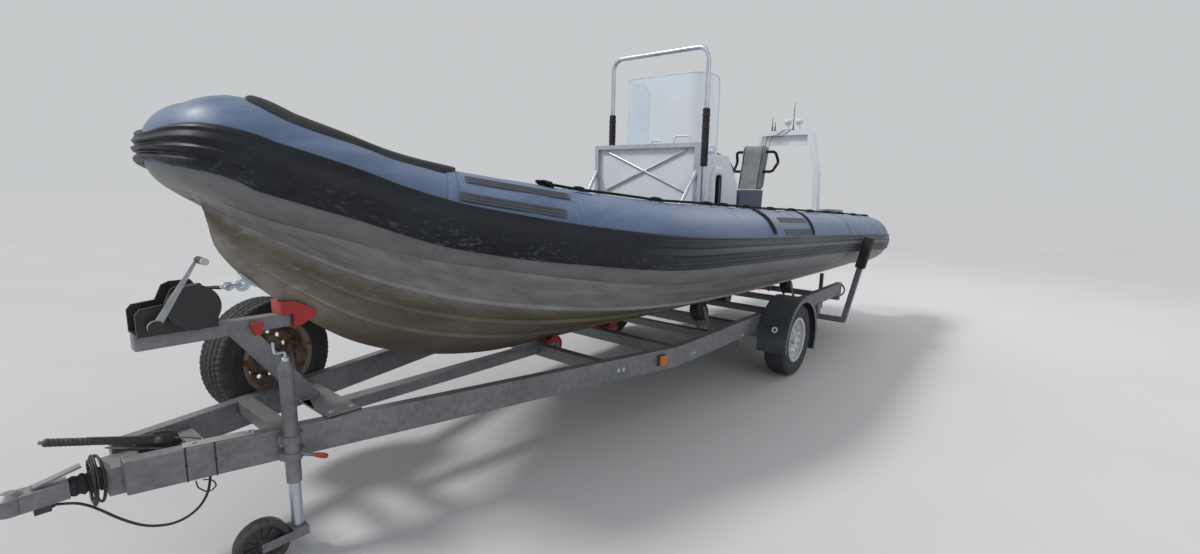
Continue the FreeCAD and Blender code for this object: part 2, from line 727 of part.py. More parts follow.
# Front frame: a square-tube frame with crossed rods, and the sheet that it carries
frame_tube = S.frame_tube
uprights = [bar("frame_upright_" + side, "frame_tube", "frame_tube",
                at_deck(S.frame_x, way * S.frame_half, frame_tube / 2),
                (S.frame_x, way * S.frame_half, S.frame_top - frame_tube / 2),
                X_AXIS) for side, way in SIDES]
rails = [bar("frame_" + name, "frame_tube", "frame_tube", (S.frame_x, -half, z),
             (S.frame_x, half, z), X_AXIS)
         for name, half, z in (
             ("sill", S.frame_half - frame_tube / 2 + 2, S.frame_low),
             ("head", S.frame_half + frame_tube / 2, S.frame_top - frame_tube / 2))]
rod_x = S.frame_x - frame_tube / 2 + S.brace_radius
crosses = [rod("frame_cross_%d" % way, "brace_radius", (rod_x, -way * S.cross_half, S.cross_low),
               (rod_x, way * S.cross_half, S.cross_high)) for way in (1, -1)]
struts = [rod("frame_strut_" + side, 15,
              (S.frame_x + 8, way * S.frame_half, 1725),
              at_deck(S.frame_x + 520, way * (S.frame_half - 45), 260))
          for side, way in SIDES]
node("front_frame", [fuse("front_frame_whole", uprights + rails + struts),
                     fuse("front_frame_cross", crosses)])
panel_x = S.frame_x - frame_tube / 2 - S.seat_gap - S.frame_panel / 2
node("front_panel", [box("front_sheet", ("frame_panel", "frame_half*2 - 20",
                                         S.frame_top - S.frame_low - 20),
                         (panel_x, 0, (S.frame_top + S.frame_low) / 2))])

# Helm: a wheel on its shaft, turned from the dash's hub plate
helm_centre = on_dash(95, S.helm_y, 100)
helm_foot = on_dash(95, S.helm_y, 46)
helm_ring = ring("helm_ring", "helm_radius", "helm_rim", helm_centre, dash_out)
spokes = []
for k in range(3):
    turn = Rotation(dash_out, 60 + k * 120)
    reach = turn.multVec(dash_run)
    spokes.append(bar("helm_spoke_%d" % k, 26, 8, helm_centre,
                      helm_centre + reach * (S.helm_radius - 4), dash_out))
boss = rod("helm_boss", 34, helm_foot, helm_centre + dash_out * 14)
shaft = rod("helm_shaft", "helm_shaft_radius", on_dash(95, S.helm_y, 8), helm_centre)
node("helm_wheel", [fuse("helm_whole", [helm_ring, boss, shaft] + spokes)])

# Throttle: a side box on the dash with its lever
throttle_foot = on_dash(150, -330, 0)
throttle = [box("throttle_box", (90, 60, 70), on_dash(150, -330, 35), dash_turn),
            bar("throttle_lever", 16, 26, on_dash(150, -330, 60), on_dash(150, -330, 190),
                dash_run),
            rod("throttle_grip", 17, on_dash(150, -375, 190), on_dash(150, -285, 190))]
node("throttle", [fuse("throttle_whole", throttle)])

# Seat to port behind the helm: a pedestal, its covered back rest and two hand loops
pedestal_low = deck_z(S.pedestal_front_x) + S.seat_gap
pedestal_side = S.seat_y - S.pedestal_half
pedestal_top = S.seat_low - S.seat_gap
pedestal = prism("pedestal_block", [
    (S.pedestal_front_x, pedestal_side, pedestal_low),
    (S.pedestal_front_x, pedestal_side, pedestal_top),
    (S.pedestal_rear_x, pedestal_side, pedestal_top),
    (S.pedestal_rear_x + 40, pedestal_side, deck_z(S.pedestal_rear_x + 40) + S.seat_gap)],
    Y_AXIS, "pedestal_half*2")
node("seat_pedestal", [pedestal])
cover_side = S.seat_y - S.seat_half
cover = prism("seat_back", [
    (S.seat_front_x, cover_side, S.seat_low),
    (S.seat_front_x - S.seat_lean, cover_side, S.seat_top),
    (S.seat_rear_x - S.seat_lean, cover_side, S.seat_top - 15),
    (S.seat_rear_x, cover_side, S.seat_low)], Y_AXIS, "seat_half*2")
node("seat_cover", [cover])
loops = []
for side, way in SIDES:
    y0 = S.seat_y + way * (S.seat_half + S.seat_gap)
    y1 = S.seat_y + way * (S.seat_half + 95)
    high_x = S.seat_front_x - S.seat_lean * 0.85 - 60
    low_x = S.seat_front_x - S.seat_lean * 0.4 - 60
    loops.append(pipe("seat_loop_" + side, "loop_radius", [
        (high_x, y0, S.seat_top - 70), (high_x, y1, S.seat_top - 70),
        (high_x - 60, y1 + way * 15, S.seat_top - 170), (low_x, y1, S.seat_top - 270),
        (low_x, y0, S.seat_top - 270)], 34))
node("seat_loops", loops)

# Stern arch: two flat-sided legs, a head bar and the sheet under it
arch_lean = (S.arch_foot_half - S.arch_kink_half) / S.arch_kink_z
arch_foot = at_deck(S.arch_x, 0, 50)[2] + S.arch_depth * arch_lean * 1.3
legs = []
for side, way in SIDES:
    top = (S.arch_x, way * S.arch_top_half, S.arch_top - S.arch_depth / 2)
    knee = (S.arch_x, way * S.arch_kink_half, S.arch_kink_z)
    foot = (S.arch_x, way * S.arch_foot_half, arch_foot)
    legs += [bar("arch_upper_" + side, "arch_width", "arch_depth", knee, top, Y_AXIS),
             bar("arch_lower_" + side, "arch_width", "arch_depth", foot, knee, Y_AXIS),
             rod("arch_knee_" + side, "arch_depth/2", Vector(*knee) - X_AXIS * 50,
                 Vector(*knee) + X_AXIS * 50),
             rod("arch_corner_" + side, "arch_depth/2", Vector(*top) - X_AXIS * 50,
                 Vector(*top) + X_AXIS * 50)]
head = bar("arch_head", "arch_width", "arch_depth",
           (S.arch_x, -S.arch_top_half, S.arch_top - S.arch_depth / 2),
           (S.arch_x, S.arch_top_half, S.arch_top - S.arch_depth / 2))
sheet_plate = box("arch_sheet", (8, 520, 120), (S.arch_x, 0, S.arch_top - S.arch_depth - 58))
node("stern_arch", [fuse("arch_whole", legs + [head, sheet_plate])])

head_z = S.arch_top + S.seat_gap
aerials = []
for k, y in enumerate((10, 148)):
    foot = Vector(S.arch_x, y, head_z)
    aerials.append(fuse("aerial_%d" % k, [
        rod("aerial_stem_%d" % k, 20, foot, foot + Z_AXIS * 62),
        cone("aerial_cup_%d" % k, 24, "antenna_radius", foot + Z_AXIS * 60,
             foot + Z_AXIS * 110),
        cone("aerial_cap_%d" % k, "antenna_radius", 26, foot + Z_AXIS * 110,
             foot + Z_AXIS * 138)]))
for k, (y, length) in enumerate(((-185, 160), (-150, 110), (79, 325))):
    foot = Vector(S.arch_x, y, head_z)
    aerials.append(cone("whip_%d" % k, 9, 4, foot, foot + Z_AXIS * length))
node("aerials", aerials)


# Trailer chassis: two main beams that run together from the kink to the drawbar
def beam_line_y(x):
    ahead = max(x - S.beam_kink_x, 0)
    return S.beam_y - S.beam_inward_slope * ahead


BEAM_MIDDLE = S.beam_top - S.beam_depth / 2
BEAM_LOW = S.beam_top - S.beam_depth
beam_turn = math.atan(S.beam_inward_slope)
skew = S.beam_width / 2 / math.cos(beam_turn)
mitre = S.beam_width / 2 * math.tan(beam_turn / 2)


def beam(side, way):
    half = S.beam_width / 2
    rear, kink, front = S.beam_rear_x, S.beam_kink_x, S.beam_front_x
    outline = [(rear, S.beam_y + half), (kink + mitre, S.beam_y + half),
               (front, beam_line_y(front) + skew), (front, beam_line_y(front) - skew),
               (kink - mitre, S.beam_y - half), (rear, S.beam_y - half)]
    return prism("beam_solid_" + side, [(x, way * y, BEAM_LOW) for x, y in outline],
                 Z_AXIS, "beam_depth")


for side, way in SIDES:
    node("beam_" + side, [beam(side, way)])

# Cross members: two between the beams at the front, the others hung under them
HUNG_TOP = BEAM_LOW - S.seat_gap
CROSS_TOP = S.beam_top - S.cross_drop
CROSS = {"bow": (2080, CROSS_TOP), "fore": (1420, CROSS_TOP - 18), "mid": (640, HUNG_TOP),
         "aft": (-600, HUNG_TOP), "rear": (-1290, HUNG_TOP), "tail": (-1900, HUNG_TOP)}


def cross_member(name):
    """Reaches between the beams' inner faces, or under both beams to their outer faces."""
    x, top = CROSS[name]
    half = S.cross_width / 2
    if top == HUNG_TOP:
        return box("cross_" + name, ("cross_width", "beam_y*2 + beam_width",
                                     "low_cross_depth"),
                   (x, 0, top - S.low_cross_depth / 2))
    inner = [beam_line_y(place) - (skew if x > S.beam_kink_x else S.beam_width / 2)
             - S.seat_gap for place in (x - half, x + half)]
    outline = [(x - half, inner[0]), (x + half, inner[1]), (x + half, -inner[1]),
               (x - half, -inner[0])]
    return prism("cross_" + name, [(place, y, top - S.cross_depth)
                                   for place, y in outline], Z_AXIS, "cross_depth")


node("cross_members", [cross_member(name) for name in CROSS])

# Centre beam from the front bracket back to the bow cross member
centre_low = S.centre_beam_top - S.centre_beam_depth
centre_rear = CROSS["bow"][0] + S.cross_width / 2 + S.seat_gap
centre_y = S.centre_beam_width / 2
node("centre_beam", [prism("centre_bar", [
    (centre_rear, -centre_y, centre_low), (S.centre_beam_front_x, -centre_y, centre_low),
    (S.centre_beam_front_x, centre_y, centre_low), (centre_rear, centre_y, centre_low)],
    Z_AXIS, "centre_beam_depth")])

# Axle: a square tube under the beams with trailing arms and stub shafts
arm_y = S.wheel_y - S.tyre_width / 2 - 8 - S.arm_thickness / 2
axle_z = BEAM_LOW - S.seat_gap - S.axle_tube / 2
axle = [box("axle_beam", ("axle_tube", 2 * (arm_y - S.arm_thickness / 2) + 4, "axle_tube"),
            (S.axle_tube_x, 0, axle_z))]
stub_end = S.wheel_y + S.disc_inset - S.disc_thickness - 12
for side, way in SIDES:
    start = (S.axle_tube_x, way * arm_y, axle_z)
    end = (0, way * arm_y, S.tyre_radius)
    axle += [bar("axle_arm_" + side, "arm_thickness", "arm_depth", start, end),
             rod("axle_pivot_" + side, "axle_tube/2",
                 (S.axle_tube_x, way * (arm_y - S.arm_thickness / 2), axle_z),
                 (S.axle_tube_x, way * (arm_y + S.arm_thickness / 2), axle_z)),
             rod("axle_eye_" + side, 44,
                 (0, way * (arm_y - S.arm_thickness / 2), S.tyre_radius),
                 (0, way * (arm_y + S.arm_thickness / 2), S.tyre_radius)),
             rod("axle_stub_" + side, "stub_radius", (0, way * arm_y, S.tyre_radius),
                 (0, way * stub_end, S.tyre_radius))]
node("axle", [fuse("axle_whole", axle)])


# Road wheels: outlines are (radius, height along the wheel's own axis, outward up)
def tyre_outline():
    bead, lip, radius, half = ("rim_radius + seat_gap", "rim_radius + 12 + seat_gap",
                               "tyre_radius", "tyre_width/2")
    rise = "(tyre_radius - rim_radius)"
    low = [(bead, "-(rim_width/2 - 10 - seat_gap)"), (lip, "-(rim_width/2 - 4 - seat_gap)"),
           (lip, "-(rim_width/2 + 3)"), ("rim_radius + %s*0.38" % rise, "-" + half),
           ("tyre_radius - %s*0.36" % rise, "-" + half),
           ("tyre_radius - %s*0.11" % rise, "-tyre_width*0.44"),
           (radius, "-tyre_width*0.36")]
    return low + [(reach, rise[1:]) for reach, rise in reversed(low)]


def rim_outline():
    return [("rim_radius - 14", "-rim_width/2"), ("rim_radius + 12", "-rim_width/2 - 3"),
            ("rim_radius + 12", "-rim_width/2 + 4"), ("rim_radius", "-rim_width/2 + 10"),
            ("rim_radius", "rim_width/2 - 10"), ("rim_radius + 12", "rim_width/2 - 4"),
            ("rim_radius + 12", "rim_width/2 + 3"), ("rim_radius - 14", "rim_width/2"),
            ("rim_radius - 16", "rim_width/2 - 30"), ("rim_radius - 30", "rim_width/2 - 34"),
            ("rim_radius - 46", "rim_width/2 - 22"), ("rim_radius - 74", "rim_width/2 - 26"),
            ("rim_radius - 84", "disc_inset"), ("34", "disc_inset"),
            ("34", "disc_inset - disc_thickness"),
            ("rim_radius - 78", "disc_inset - disc_thickness"),
            ("rim_radius - 68", "rim_width/2 - 35"), ("rim_radius - 42", "rim_width/2 - 31"),
            ("rim_radius - 26", "rim_width/2 - 43"), ("rim_radius - 14", "rim_width/2 - 44")]


def wheel_holes(label, rim, placement):
    """A ring of round holes through the disc's outer slope."""
    drills = []
    for k in range(12):
        angle = 2 * math.pi * k / 12
        reach = S.rim_radius - 60
        foot = Vector(reach * math.cos(angle), reach * math.sin(angle), 0)
        ends = [placement.multVec(foot + Z_AXIS * rise) for rise in (0, S.rim_width / 2)]
        drills.append(rod("%s_drill_%d" % (label, k), "rim_hole_radius", *ends))
    return cut(label + "_drilled", rim, fuse(label + "_drills", drills))


def hub_solid(side, way):
    """Brake drum behind the disc, bored for the stub, with a dust cap."""
    inner = arm_y + S.arm_thickness / 2 + S.hub_gap
    face = S.wheel_y + S.disc_inset - S.disc_thickness - S.seat_gap
    drum = rod("drum_" + side, "hub_radius", (0, way * inner, S.tyre_radius),
               (0, way * face, S.tyre_radius))
    bore = rod("drum_bore_" + side, "stub_radius + running_fit",
               (0, way * (inner - 5), S.tyre_radius),
               (0, way * (stub_end + 4), S.tyre_radius))
    return cut("hub_" + side, drum, bore)


def cap_solid(side, way):
    face = S.wheel_y + S.disc_inset - S.disc_thickness - S.seat_gap
    return rod("cap_" + side, 32, (0, way * face, S.tyre_radius),
               (0, way * (face + 46), S.tyre_radius))


for side, way in SIDES:
    stand = Placement(Vector(0, way * S.wheel_y, S.tyre_radius),
                      Rotation(Z_AXIS, Y_AXIS * way))
    node("tyre_" + side, [turned_body("road_tyre_" + side, tyre_outline(), stand)])
    rim = turned_body("road_rim_" + side, rim_outline(), stand)
    node("rim_" + side, [wheel_holes("road_rim_" + side, rim, stand),
                         fuse("hub_whole_" + side, [hub_solid(side, way),
                                                    cap_solid(side, way)])])


# Mudguards: a half-round hoop of sheet with an outer lip, on two brackets each
def guard(side, way):
    centre = Vector(0, 0, S.tyre_radius)
    outer = S.tyre_radius + S.guard_clearance
    inner = outer - S.guard_thickness
    first, last = math.radians(-8), math.radians(204)

    def sector(label, high, low, y0, y1):
        corners = []
        for radius, order in ((high, 1), (low, -1)):
            angles = [first, (first + last) / 2, last][::order]
            corners.append([centre + Vector(radius * math.cos(a), 0, radius * math.sin(a))
                            for a in angles])
        edges = [Part.Arc(*corners[0]).toShape(),
                 Part.LineSegment(corners[0][2], corners[1][0]).toShape(),
                 Part.Arc(*corners[1]).toShape(),
                 Part.LineSegment(corners[1][2], corners[0][0]).toShape()]
        flat = doc.addObject("Part::Feature", label + "_outline")
        wire = Part.Wire(edges)
        wire.translate(Vector(0, min(way * y0, way * y1), 0))
        flat.Shape = wire
        solid = doc.addObject("Part::Extrusion", label)
        solid.Base = flat
        solid.DirMode = "Custom"
        solid.Dir = Y_AXIS
        solid.Solid = True
        solid.LengthFwd = abs(y1 - y0)
        return solid

    hoop_part = sector("guard_hoop_" + side, outer, inner, S.guard_inner_y, S.guard_outer_y)
    lip = sector("guard_lip_" + side, outer, outer - S.guard_lip,
                 S.guard_outer_y - S.guard_thickness, S.guard_outer_y)
    beam_face = S.beam_y + S.beam_width / 2 + S.seat_gap
    brackets = []
    for k, angle in enumerate((38, 142)):
        turn = math.radians(angle)
        x, z = inner * math.cos(turn), S.tyre_radius + inner * math.sin(turn)
        foot_z = min(S.beam_top - S.guard_foot_drop, z - S.guard_bracket)
        brackets.append(box("guard_bracket_%s_%d" % (side, k),
                            (50, S.guard_inner_y + 20 - beam_face, "guard_bracket"),
                            (x, way * (beam_face + S.guard_inner_y + 20) / 2,
                             z - 2)))
        brackets.append(box("guard_leg_%s_%d" % (side, k),
                            (50, "guard_bracket", z + 1 - foot_z),
                            (x, way * (beam_face + S.guard_bracket / 2),
                             (z + 1 + foot_z) / 2)))
    return fuse("guard_" + side, [hoop_part, lip] + brackets)


node("mudguards", [guard(side, way) for side, way in SIDES])


# Spare wheel on the starboard beam, standing beside the winch post
def spare_place():
    along = Vector(1, S.beam_inward_slope, 0).normalize()
    out = Vector(along.y, -along.x, 0)
    foot = Vector(S.spare_x, -beam_line_y(S.spare_x), S.spare_z)
    return foot + out * (S.beam_width / 2 + S.spare_offset), out, along


spare_centre, spare_out, spare_along = spare_place()
spare_stand = Placement(spare_centre, Rotation(Z_AXIS, spare_out))
node("spare_tyre", [turned_body("spare_tyre_turned", tyre_outline(), spare_stand)])
spare_rim = turned_body("spare_rim_turned", rim_outline(), spare_stand)
node("spare_rim", [wheel_holes("spare", spare_rim, spare_stand)])
disc_face = spare_centre + spare_out * (S.disc_inset - S.disc_thickness - S.seat_gap)
carrier_foot = Vector(disc_face.x, disc_face.y, 0)
beam_side = spare_centre - spare_out * (S.spare_offset - S.seat_gap)
carrier = [rod("carrier_plate", 70, disc_face, disc_face - spare_out * 8),
           bar("carrier_arm", 70, 10, beam_side + spare_out * 5,
               Vector(beam_side.x, beam_side.y, BEAM_MIDDLE) + spare_out * 5, spare_out),
           bar("carrier_reach", 60, 60, beam_side, disc_face - spare_out * 4),
           bar("carrier_foot", 10, 120, Vector(beam_side.x, beam_side.y, BEAM_MIDDLE)
               + spare_out * 5 - spare_along * 80,
               Vector(beam_side.x, beam_side.y, BEAM_MIDDLE) + spare_out * 5
               + spare_along * 80)]
node("spare_carrier", [fuse("carrier_whole", carrier)])

# Winch post: a foot plate across the beams, a leaning post and the long level arm
foot_low = S.beam_top + S.seat_gap
foot_top = foot_low + 8
arm_middle = S.arm_top - S.winch_arm_depth / 2
foot_half = beam_line_y(S.post_foot_x + 60) + S.beam_width / 2 - 6
post_foot = box("post_foot", (160, foot_half * 2, 8),
                (S.post_foot_x - 20, 0, (foot_low + foot_top) / 2))
post_leg = cut("post_leg_level", bar("post_leg", 60, 80, (S.post_foot_x, 0, foot_low),
                                     (S.post_head_x, 0, arm_middle), X_AXIS),
               box("post_leg_trim", (300, 100, 100), (S.post_foot_x, 0, foot_low - 50)))
winch_arm = bar("winch_arm", "winch_arm_width", "winch_arm_depth",
                (S.winch_arm_front, 0, arm_middle), (S.winch_arm_rear, 0, arm_middle))
cross_rear = S.front_cross_x - S.front_cross_width / 2
cross_front = S.front_cross_x + S.front_cross_width / 2
rear_y, front_y = (beam_line_y(x) - skew - S.seat_gap for x in (cross_rear, cross_front))
front_cross = prism("front_cross", [
    (cross_rear, -rear_y, S.beam_top - 60), (cross_front, -front_y, S.beam_top - 60),
    (cross_front, front_y, S.beam_top - 60), (cross_rear, rear_y, S.beam_top - 60)],
    Z_AXIS, 60)
node("winch_post", [fuse("post_whole", [post_foot, post_leg, winch_arm]), front_cross])

# Winch: base, drum, stepped side cheeks, round gear cover and a crank with its grip
winch_low = S.arm_top + S.seat_gap
drum_z = winch_low + 4 + S.gear_radius
winch_rear, winch_front = S.gear_x - 84, S.winch_arm_front - 4
step_x = S.gear_x + S.gear_radius
cheek = [(winch_rear, winch_low), (winch_rear - 6, drum_z), (S.gear_x - 34, drum_z + 92),
         (S.gear_x + 38, drum_z + 92), (S.gear_x + 66, drum_z + 80), (step_x, drum_z + 22),
         (winch_front - 16, drum_z + 14), (winch_front, drum_z - 6), (winch_front, winch_low)]


def cheek_plate(label, y, thickness):
    return prism(label, [(x, y, z) for x, z in cheek], Y_AXIS, thickness)


gear_face = S.winch_half + 32
crank = Vector(S.gear_x + S.crank_ahead, 0, winch_low + 42)
crank_top = crank + Vector(-S.crank_back, 0, S.crank_rise)
crank_side = (crank_top - crank).cross(Y_AXIS).normalize()
crank_web = [crank + crank_side * 14, crank - crank_side * 14, crank_top - crank_side * 5,
             crank_top + crank_side * 5]
crank_y = gear_face + 8
winch = [box("winch_base", (winch_front - winch_rear, "winch_half*2", 8),
             ((winch_front + winch_rear) / 2, 0, winch_low + 4)),
         rod("winch_drum", "drum_radius", (S.gear_x, -S.winch_half + 2, drum_z),
             (S.gear_x, S.winch_half - 2, drum_z)),
         cheek_plate("cheek_far", -S.winch_half, "cheek_thickness"),
         cheek_plate("cheek_near", S.winch_half - S.cheek_thickness, "cheek_thickness"),
         rod("gear_cover", "gear_radius", (S.gear_x, S.winch_half - 2, drum_z),
             (S.gear_x, gear_face, drum_z)),
         rod("crank_shaft", 12, (crank.x, S.winch_half - 2, crank.z),
             (crank.x, crank_y + 10, crank.z)),
         rod("crank_hub", 26, (crank.x, crank_y - 4, crank.z), (crank.x, crank_y + 12, crank.z)),
         prism("crank_web", [(corner.x, crank_y, corner.z) for corner in crank_web],
               Y_AXIS, 8),
         rod("crank_grip", 14, (crank_top.x, crank_y - 2, crank_top.z - 8),
             (crank_top.x, crank_y + 92, crank_top.z - 8))]
node("winch", [fuse("winch_whole", winch)])

# Strap from the drum to its hook beside the bow eye
eye_middle = stem_foot + stem_out * 32
strap_start = Vector(S.gear_x - 20, 0, drum_z + S.drum_radius + 1.5 + 2 * S.seat_gap)
hook_pin = eye_middle + X_AXIS * (14 - 10 - S.seat_gap)
hook_end = Vector(hook_pin.x + 70, 0, hook_pin.z)
strap = [bar("strap_web", 44, 3, strap_start, hook_end),
         bar("strap_hook", 36, 22, hook_end + X_AXIS * 12, hook_end - X_AXIS * 34),
         rod("hook_pin", 10, hook_pin - Y_AXIS * 18, hook_pin + Y_AXIS * 18)]
for way in (1, -1):
    strap.append(bar("hook_cheek_%d" % way, 7, 22, hook_pin + Y_AXIS * (way * 12),
                     hook_end + Y_AXIS * way * 12))
node("winch_strap", [fuse("strap_whole", strap)])

# Snubber: a red V block round the stem at the arm's rear end, and a cap on the arm's side
stem_form = doc.addObject("Part::Feature", "stem_form")
stem_form.Shape = hull_solid()
stem_form.Placement = Placement(Vector(S.seat_gap, 0, -S.seat_gap), Rotation())
snub_seat = S.arm_top + S.seat_gap
snub_face = S.winch_arm_rear - S.seat_gap
snubber_block = prism("snubber_block", [(x, -S.snubber_half, z) for x, z in (
    (snub_face + 50, snub_seat), (snub_face + 50, snub_seat + 60),
    (snub_face, snub_seat + 60), (snub_face - 100, snub_seat + 8),
    (snub_face - 100, snub_seat - 22), (snub_face - 30, snub_seat - 60),
    (snub_face, snub_seat - 60), (snub_face, snub_seat))], Y_AXIS, "snubber_half*2")
cap_x, cap_z = S.post_head_x - 68, arm_middle + 2
arm_cap = prism("arm_cap", [(cap_x + across, S.winch_arm_width / 2 + S.seat_gap, cap_z + rise)
                            for across, rise in ((-26, 6), (-18, 14), (18, 14), (26, 6),
                                                 (10, -44), (-10, -44))], Y_AXIS, 24)
node("snubber", [cut("snubber_cut", snubber_block, stem_form), arm_cap])

# Keel rollers: waisted rollers between two plates on the cross members
keel_rollers, keel_brackets = [], []
for name, ahead in (("bow", -112), ("fore", -112), ("aft", -112), ("tail", 112)):
    cross, cross_top = CROSS[name]
    x = cross + ahead
    half = S.roller_width / 2
    deadrise = (bottom_z(x, half) - bottom_z(x, 0)) / half
    axis_z = bottom_z(x, 0) - S.roller_radius - 2 * S.seat_gap
    flange = S.roller_radius + half * deadrise
    ends = [(x, way * half, axis_z) for way in (1, -1)]
    waist = [cone("keel_cone_%s_%d" % (name, k), "roller_radius", flange,
                  (x, 0, axis_z), end) for k, end in enumerate(ends)]
    bore = rod("keel_bore_" + name, 10 + S.seat_gap, (x, -half - 5, axis_z),
               (x, half + 5, axis_z))
    keel_rollers.append(cut("keel_roller_" + name, fuse("keel_waist_" + name, waist), bore))
    toward = -1 if ahead > 0 else 1
    near_face = cross - toward * (S.cross_width / 2 + S.seat_gap)
    far_end = x - toward * 30
    plate_low, plate_high = cross_top - 50, axis_z + 26
    plates = [box("keel_plate_%s_%d" % (name, way), (abs(near_face - far_end),
                                                     "bracket_thickness",
                                                     plate_high - plate_low),
                  ((near_face + far_end) / 2, way * (half + 6),
                   (plate_low + plate_high) / 2))
              for way in (1, -1)]
    back = box("keel_back_" + name, ("bracket_thickness", 2 * half + 12, 50),
               (near_face - toward * S.bracket_thickness / 2, 0, cross_top - 25))
    pin = rod("keel_pin_" + name, 10, (x, -half - 16, axis_z), (x, half + 16, axis_z))
    keel_brackets.append(fuse("keel_bracket_" + name, plates + [back, pin]))
node("keel_rollers", keel_rollers)
node("keel_brackets", keel_brackets)

# Side rollers: tilted to lie flat against the bottom between its rails
side_rollers, side_brackets = [], []
for name in ("mid", "rear"):
    (x, cross_top), y, half = CROSS[name], S.wobble_y, S.wobble_width / 2
    slope = (bottom_z(x, y + half) - bottom_z(x, y - half)) / (2 * half)
    for side, way in SIDES:
        along = Vector(0, way, slope).normalize()
        under = Vector(0, way * slope, -1).normalize()
        middle = (Vector(x, way * y, bottom_z(x, y))
                  + under * (S.wobble_radius + 2 * S.seat_gap))
        ends = [middle + along * (half * k) for k in (-1, 1)]
        label = "%s_%s" % (name, side)
        disc = rod("wobble_" + label, "wobble_radius", *ends)
        bore = rod("wobble_bore_" + label, 10 + S.seat_gap, middle - along * (half + 5),
                   middle + along * (half + 5))
        side_rollers.append(cut("side_roller_" + label, disc, bore))
        legs = [rod("wobble_pin_" + label, 10, middle - along * (half + 14),
                    middle + along * (half + 14))]
        base_z = cross_top + S.seat_gap + 3
        feet_y = []
        for k in (-1, 1):
            head = middle + along * ((half + 8) * k) - under * 20
            foot = head + under * ((head.z - base_z) / -under.z)
            feet_y.append(foot.y)
            legs.append(bar("wobble_leg_%s_%d" % (label, k), "bracket_thickness", 46,
                            foot, head, X_AXIS))
        legs.append(box("wobble_base_" + label, (56, abs(feet_y[1] - feet_y[0]) + 20, 6),
                        (x, sum(feet_y) / 2, base_z)))
        side_brackets.append(fuse("side_bracket_" + label, legs))
node("side_rollers", side_rollers)
node("side_brackets", side_brackets)

# Guide posts: a foot under each beam, a post that leans out, and a foam sleeve
guide_lean = 0.2
posts, pads = [], []


def on_post(way, z):
    """A point on the leaning middle line of a guide post."""
    return Vector(S.guide_x, way * (S.guide_foot_y + (z - S.guide_foot_z) * guide_lean), z)


for side, way in SIDES:
    low, high = on_post(way, S.guide_foot_z), on_post(way, S.guide_top_z - 8)
    posts.append(fuse("guide_post_" + side, [
        bar("guide_foot_" + side, "guide_tube", "guide_tube",
            (S.guide_x, way * (S.beam_y - 60), S.guide_foot_z),
            (S.guide_x, way * (S.guide_foot_y + 20), S.guide_foot_z)),
        bar("guide_rise_" + side, "guide_tube", "guide_tube", low, high, X_AXIS),
        box("guide_hanger_" + side, (90, 70, BEAM_LOW - S.seat_gap - S.guide_foot_z),
            (S.guide_x, way * S.beam_y, (BEAM_LOW - S.seat_gap + S.guide_foot_z) / 2))]))
    ends = on_post(way, S.guide_pad_low), on_post(way, S.guide_top_z)
    pads.append(cut("guide_sleeve_" + side,
                    bar("guide_foam_" + side, "guide_pad", "guide_pad", *ends, X_AXIS),
                    bar("guide_core_" + side, "guide_tube + seat_gap*2",
                        "guide_tube + seat_gap*2", on_post(way, S.guide_pad_low - 20),
                        on_post(way, S.guide_top_z - 7), X_AXIS)))
node("guide_posts", posts)
node("guide_pads", pads)

# Lamp posts at the tail, on the tail cross member
lamp_posts = []
for side, way in SIDES:
    foot = (S.post_x, way * S.post_y, HUNG_TOP + S.seat_gap)
    lamp_posts.append(fuse("lamp_post_" + side, [
        bar("lamp_upright_" + side, 36, 36, foot, (S.post_x, way * S.post_y, S.post_top), X_AXIS),
        box("lamp_foot_" + side, (58, 110, 8), (foot[0], foot[1], foot[2] + 4))]))
node("lamp_posts", lamp_posts)

# Jockey wheel: the outer tube in its clamp, the leg that slides in it, fork and wheel
JOCKEY_Y = (beam_line_y(S.jockey_x)
            + (S.beam_width / 2 + S.jockey_offset) / math.cos(beam_turn))
jockey_up = Vector(S.jockey_x, JOCKEY_Y, 0)
beam_across = Vector(S.beam_inward_slope, 1, 0).normalize()
clamp_turn = Rotation(Z_AXIS, -math.degrees(beam_turn))
tube = rod("jockey_outer", "jockey_tube_radius", jockey_up + Z_AXIS * S.jockey_tube_low,
           jockey_up + Z_AXIS * S.jockey_tube_top)
cap = cone("jockey_cap", "jockey_tube_radius + 3", 16,
           jockey_up + Z_AXIS * (S.jockey_tube_top - 2),
           jockey_up + Z_AXIS * (S.jockey_tube_top + 30))
clamp_depth = S.jockey_offset - S.seat_gap
CLAMP_HEIGHTS = (447, 520)
clamps = [box("jockey_clamp_%d" % z, (96, clamp_depth, 34),
              jockey_up - beam_across * (clamp_depth / 2) + Z_AXIS * z, clamp_turn)
          for z in CLAMP_HEIGHTS]
band = [rod("jockey_band_%d" % z, "jockey_tube_radius + 7",
            jockey_up + Z_AXIS * (z - 17), jockey_up + Z_AXIS * (z + 17))
        for z in CLAMP_HEIGHTS]
lever = rod("jockey_lever", 8, jockey_up + Vector(-30, 10, CLAMP_HEIGHTS[0]),
            jockey_up + Vector(-95, 40, CLAMP_HEIGHTS[0] - 23))
inner_bore = rod("jockey_bore", "jockey_leg_radius + jockey_play",
                 jockey_up + Z_AXIS * (S.jockey_tube_low - 5),
                 jockey_up + Z_AXIS * (S.jockey_tube_top - 30))
node("jockey_tube", [cut("jockey_tube_bored",
                         fuse("jockey_tube_whole", [tube, cap, lever] + clamps + band),
                         inner_bore)])
crown_low, crown_high = S.jockey_wheel_radius - 20, S.jockey_wheel_radius + 20
leg_low = crown_high + 6
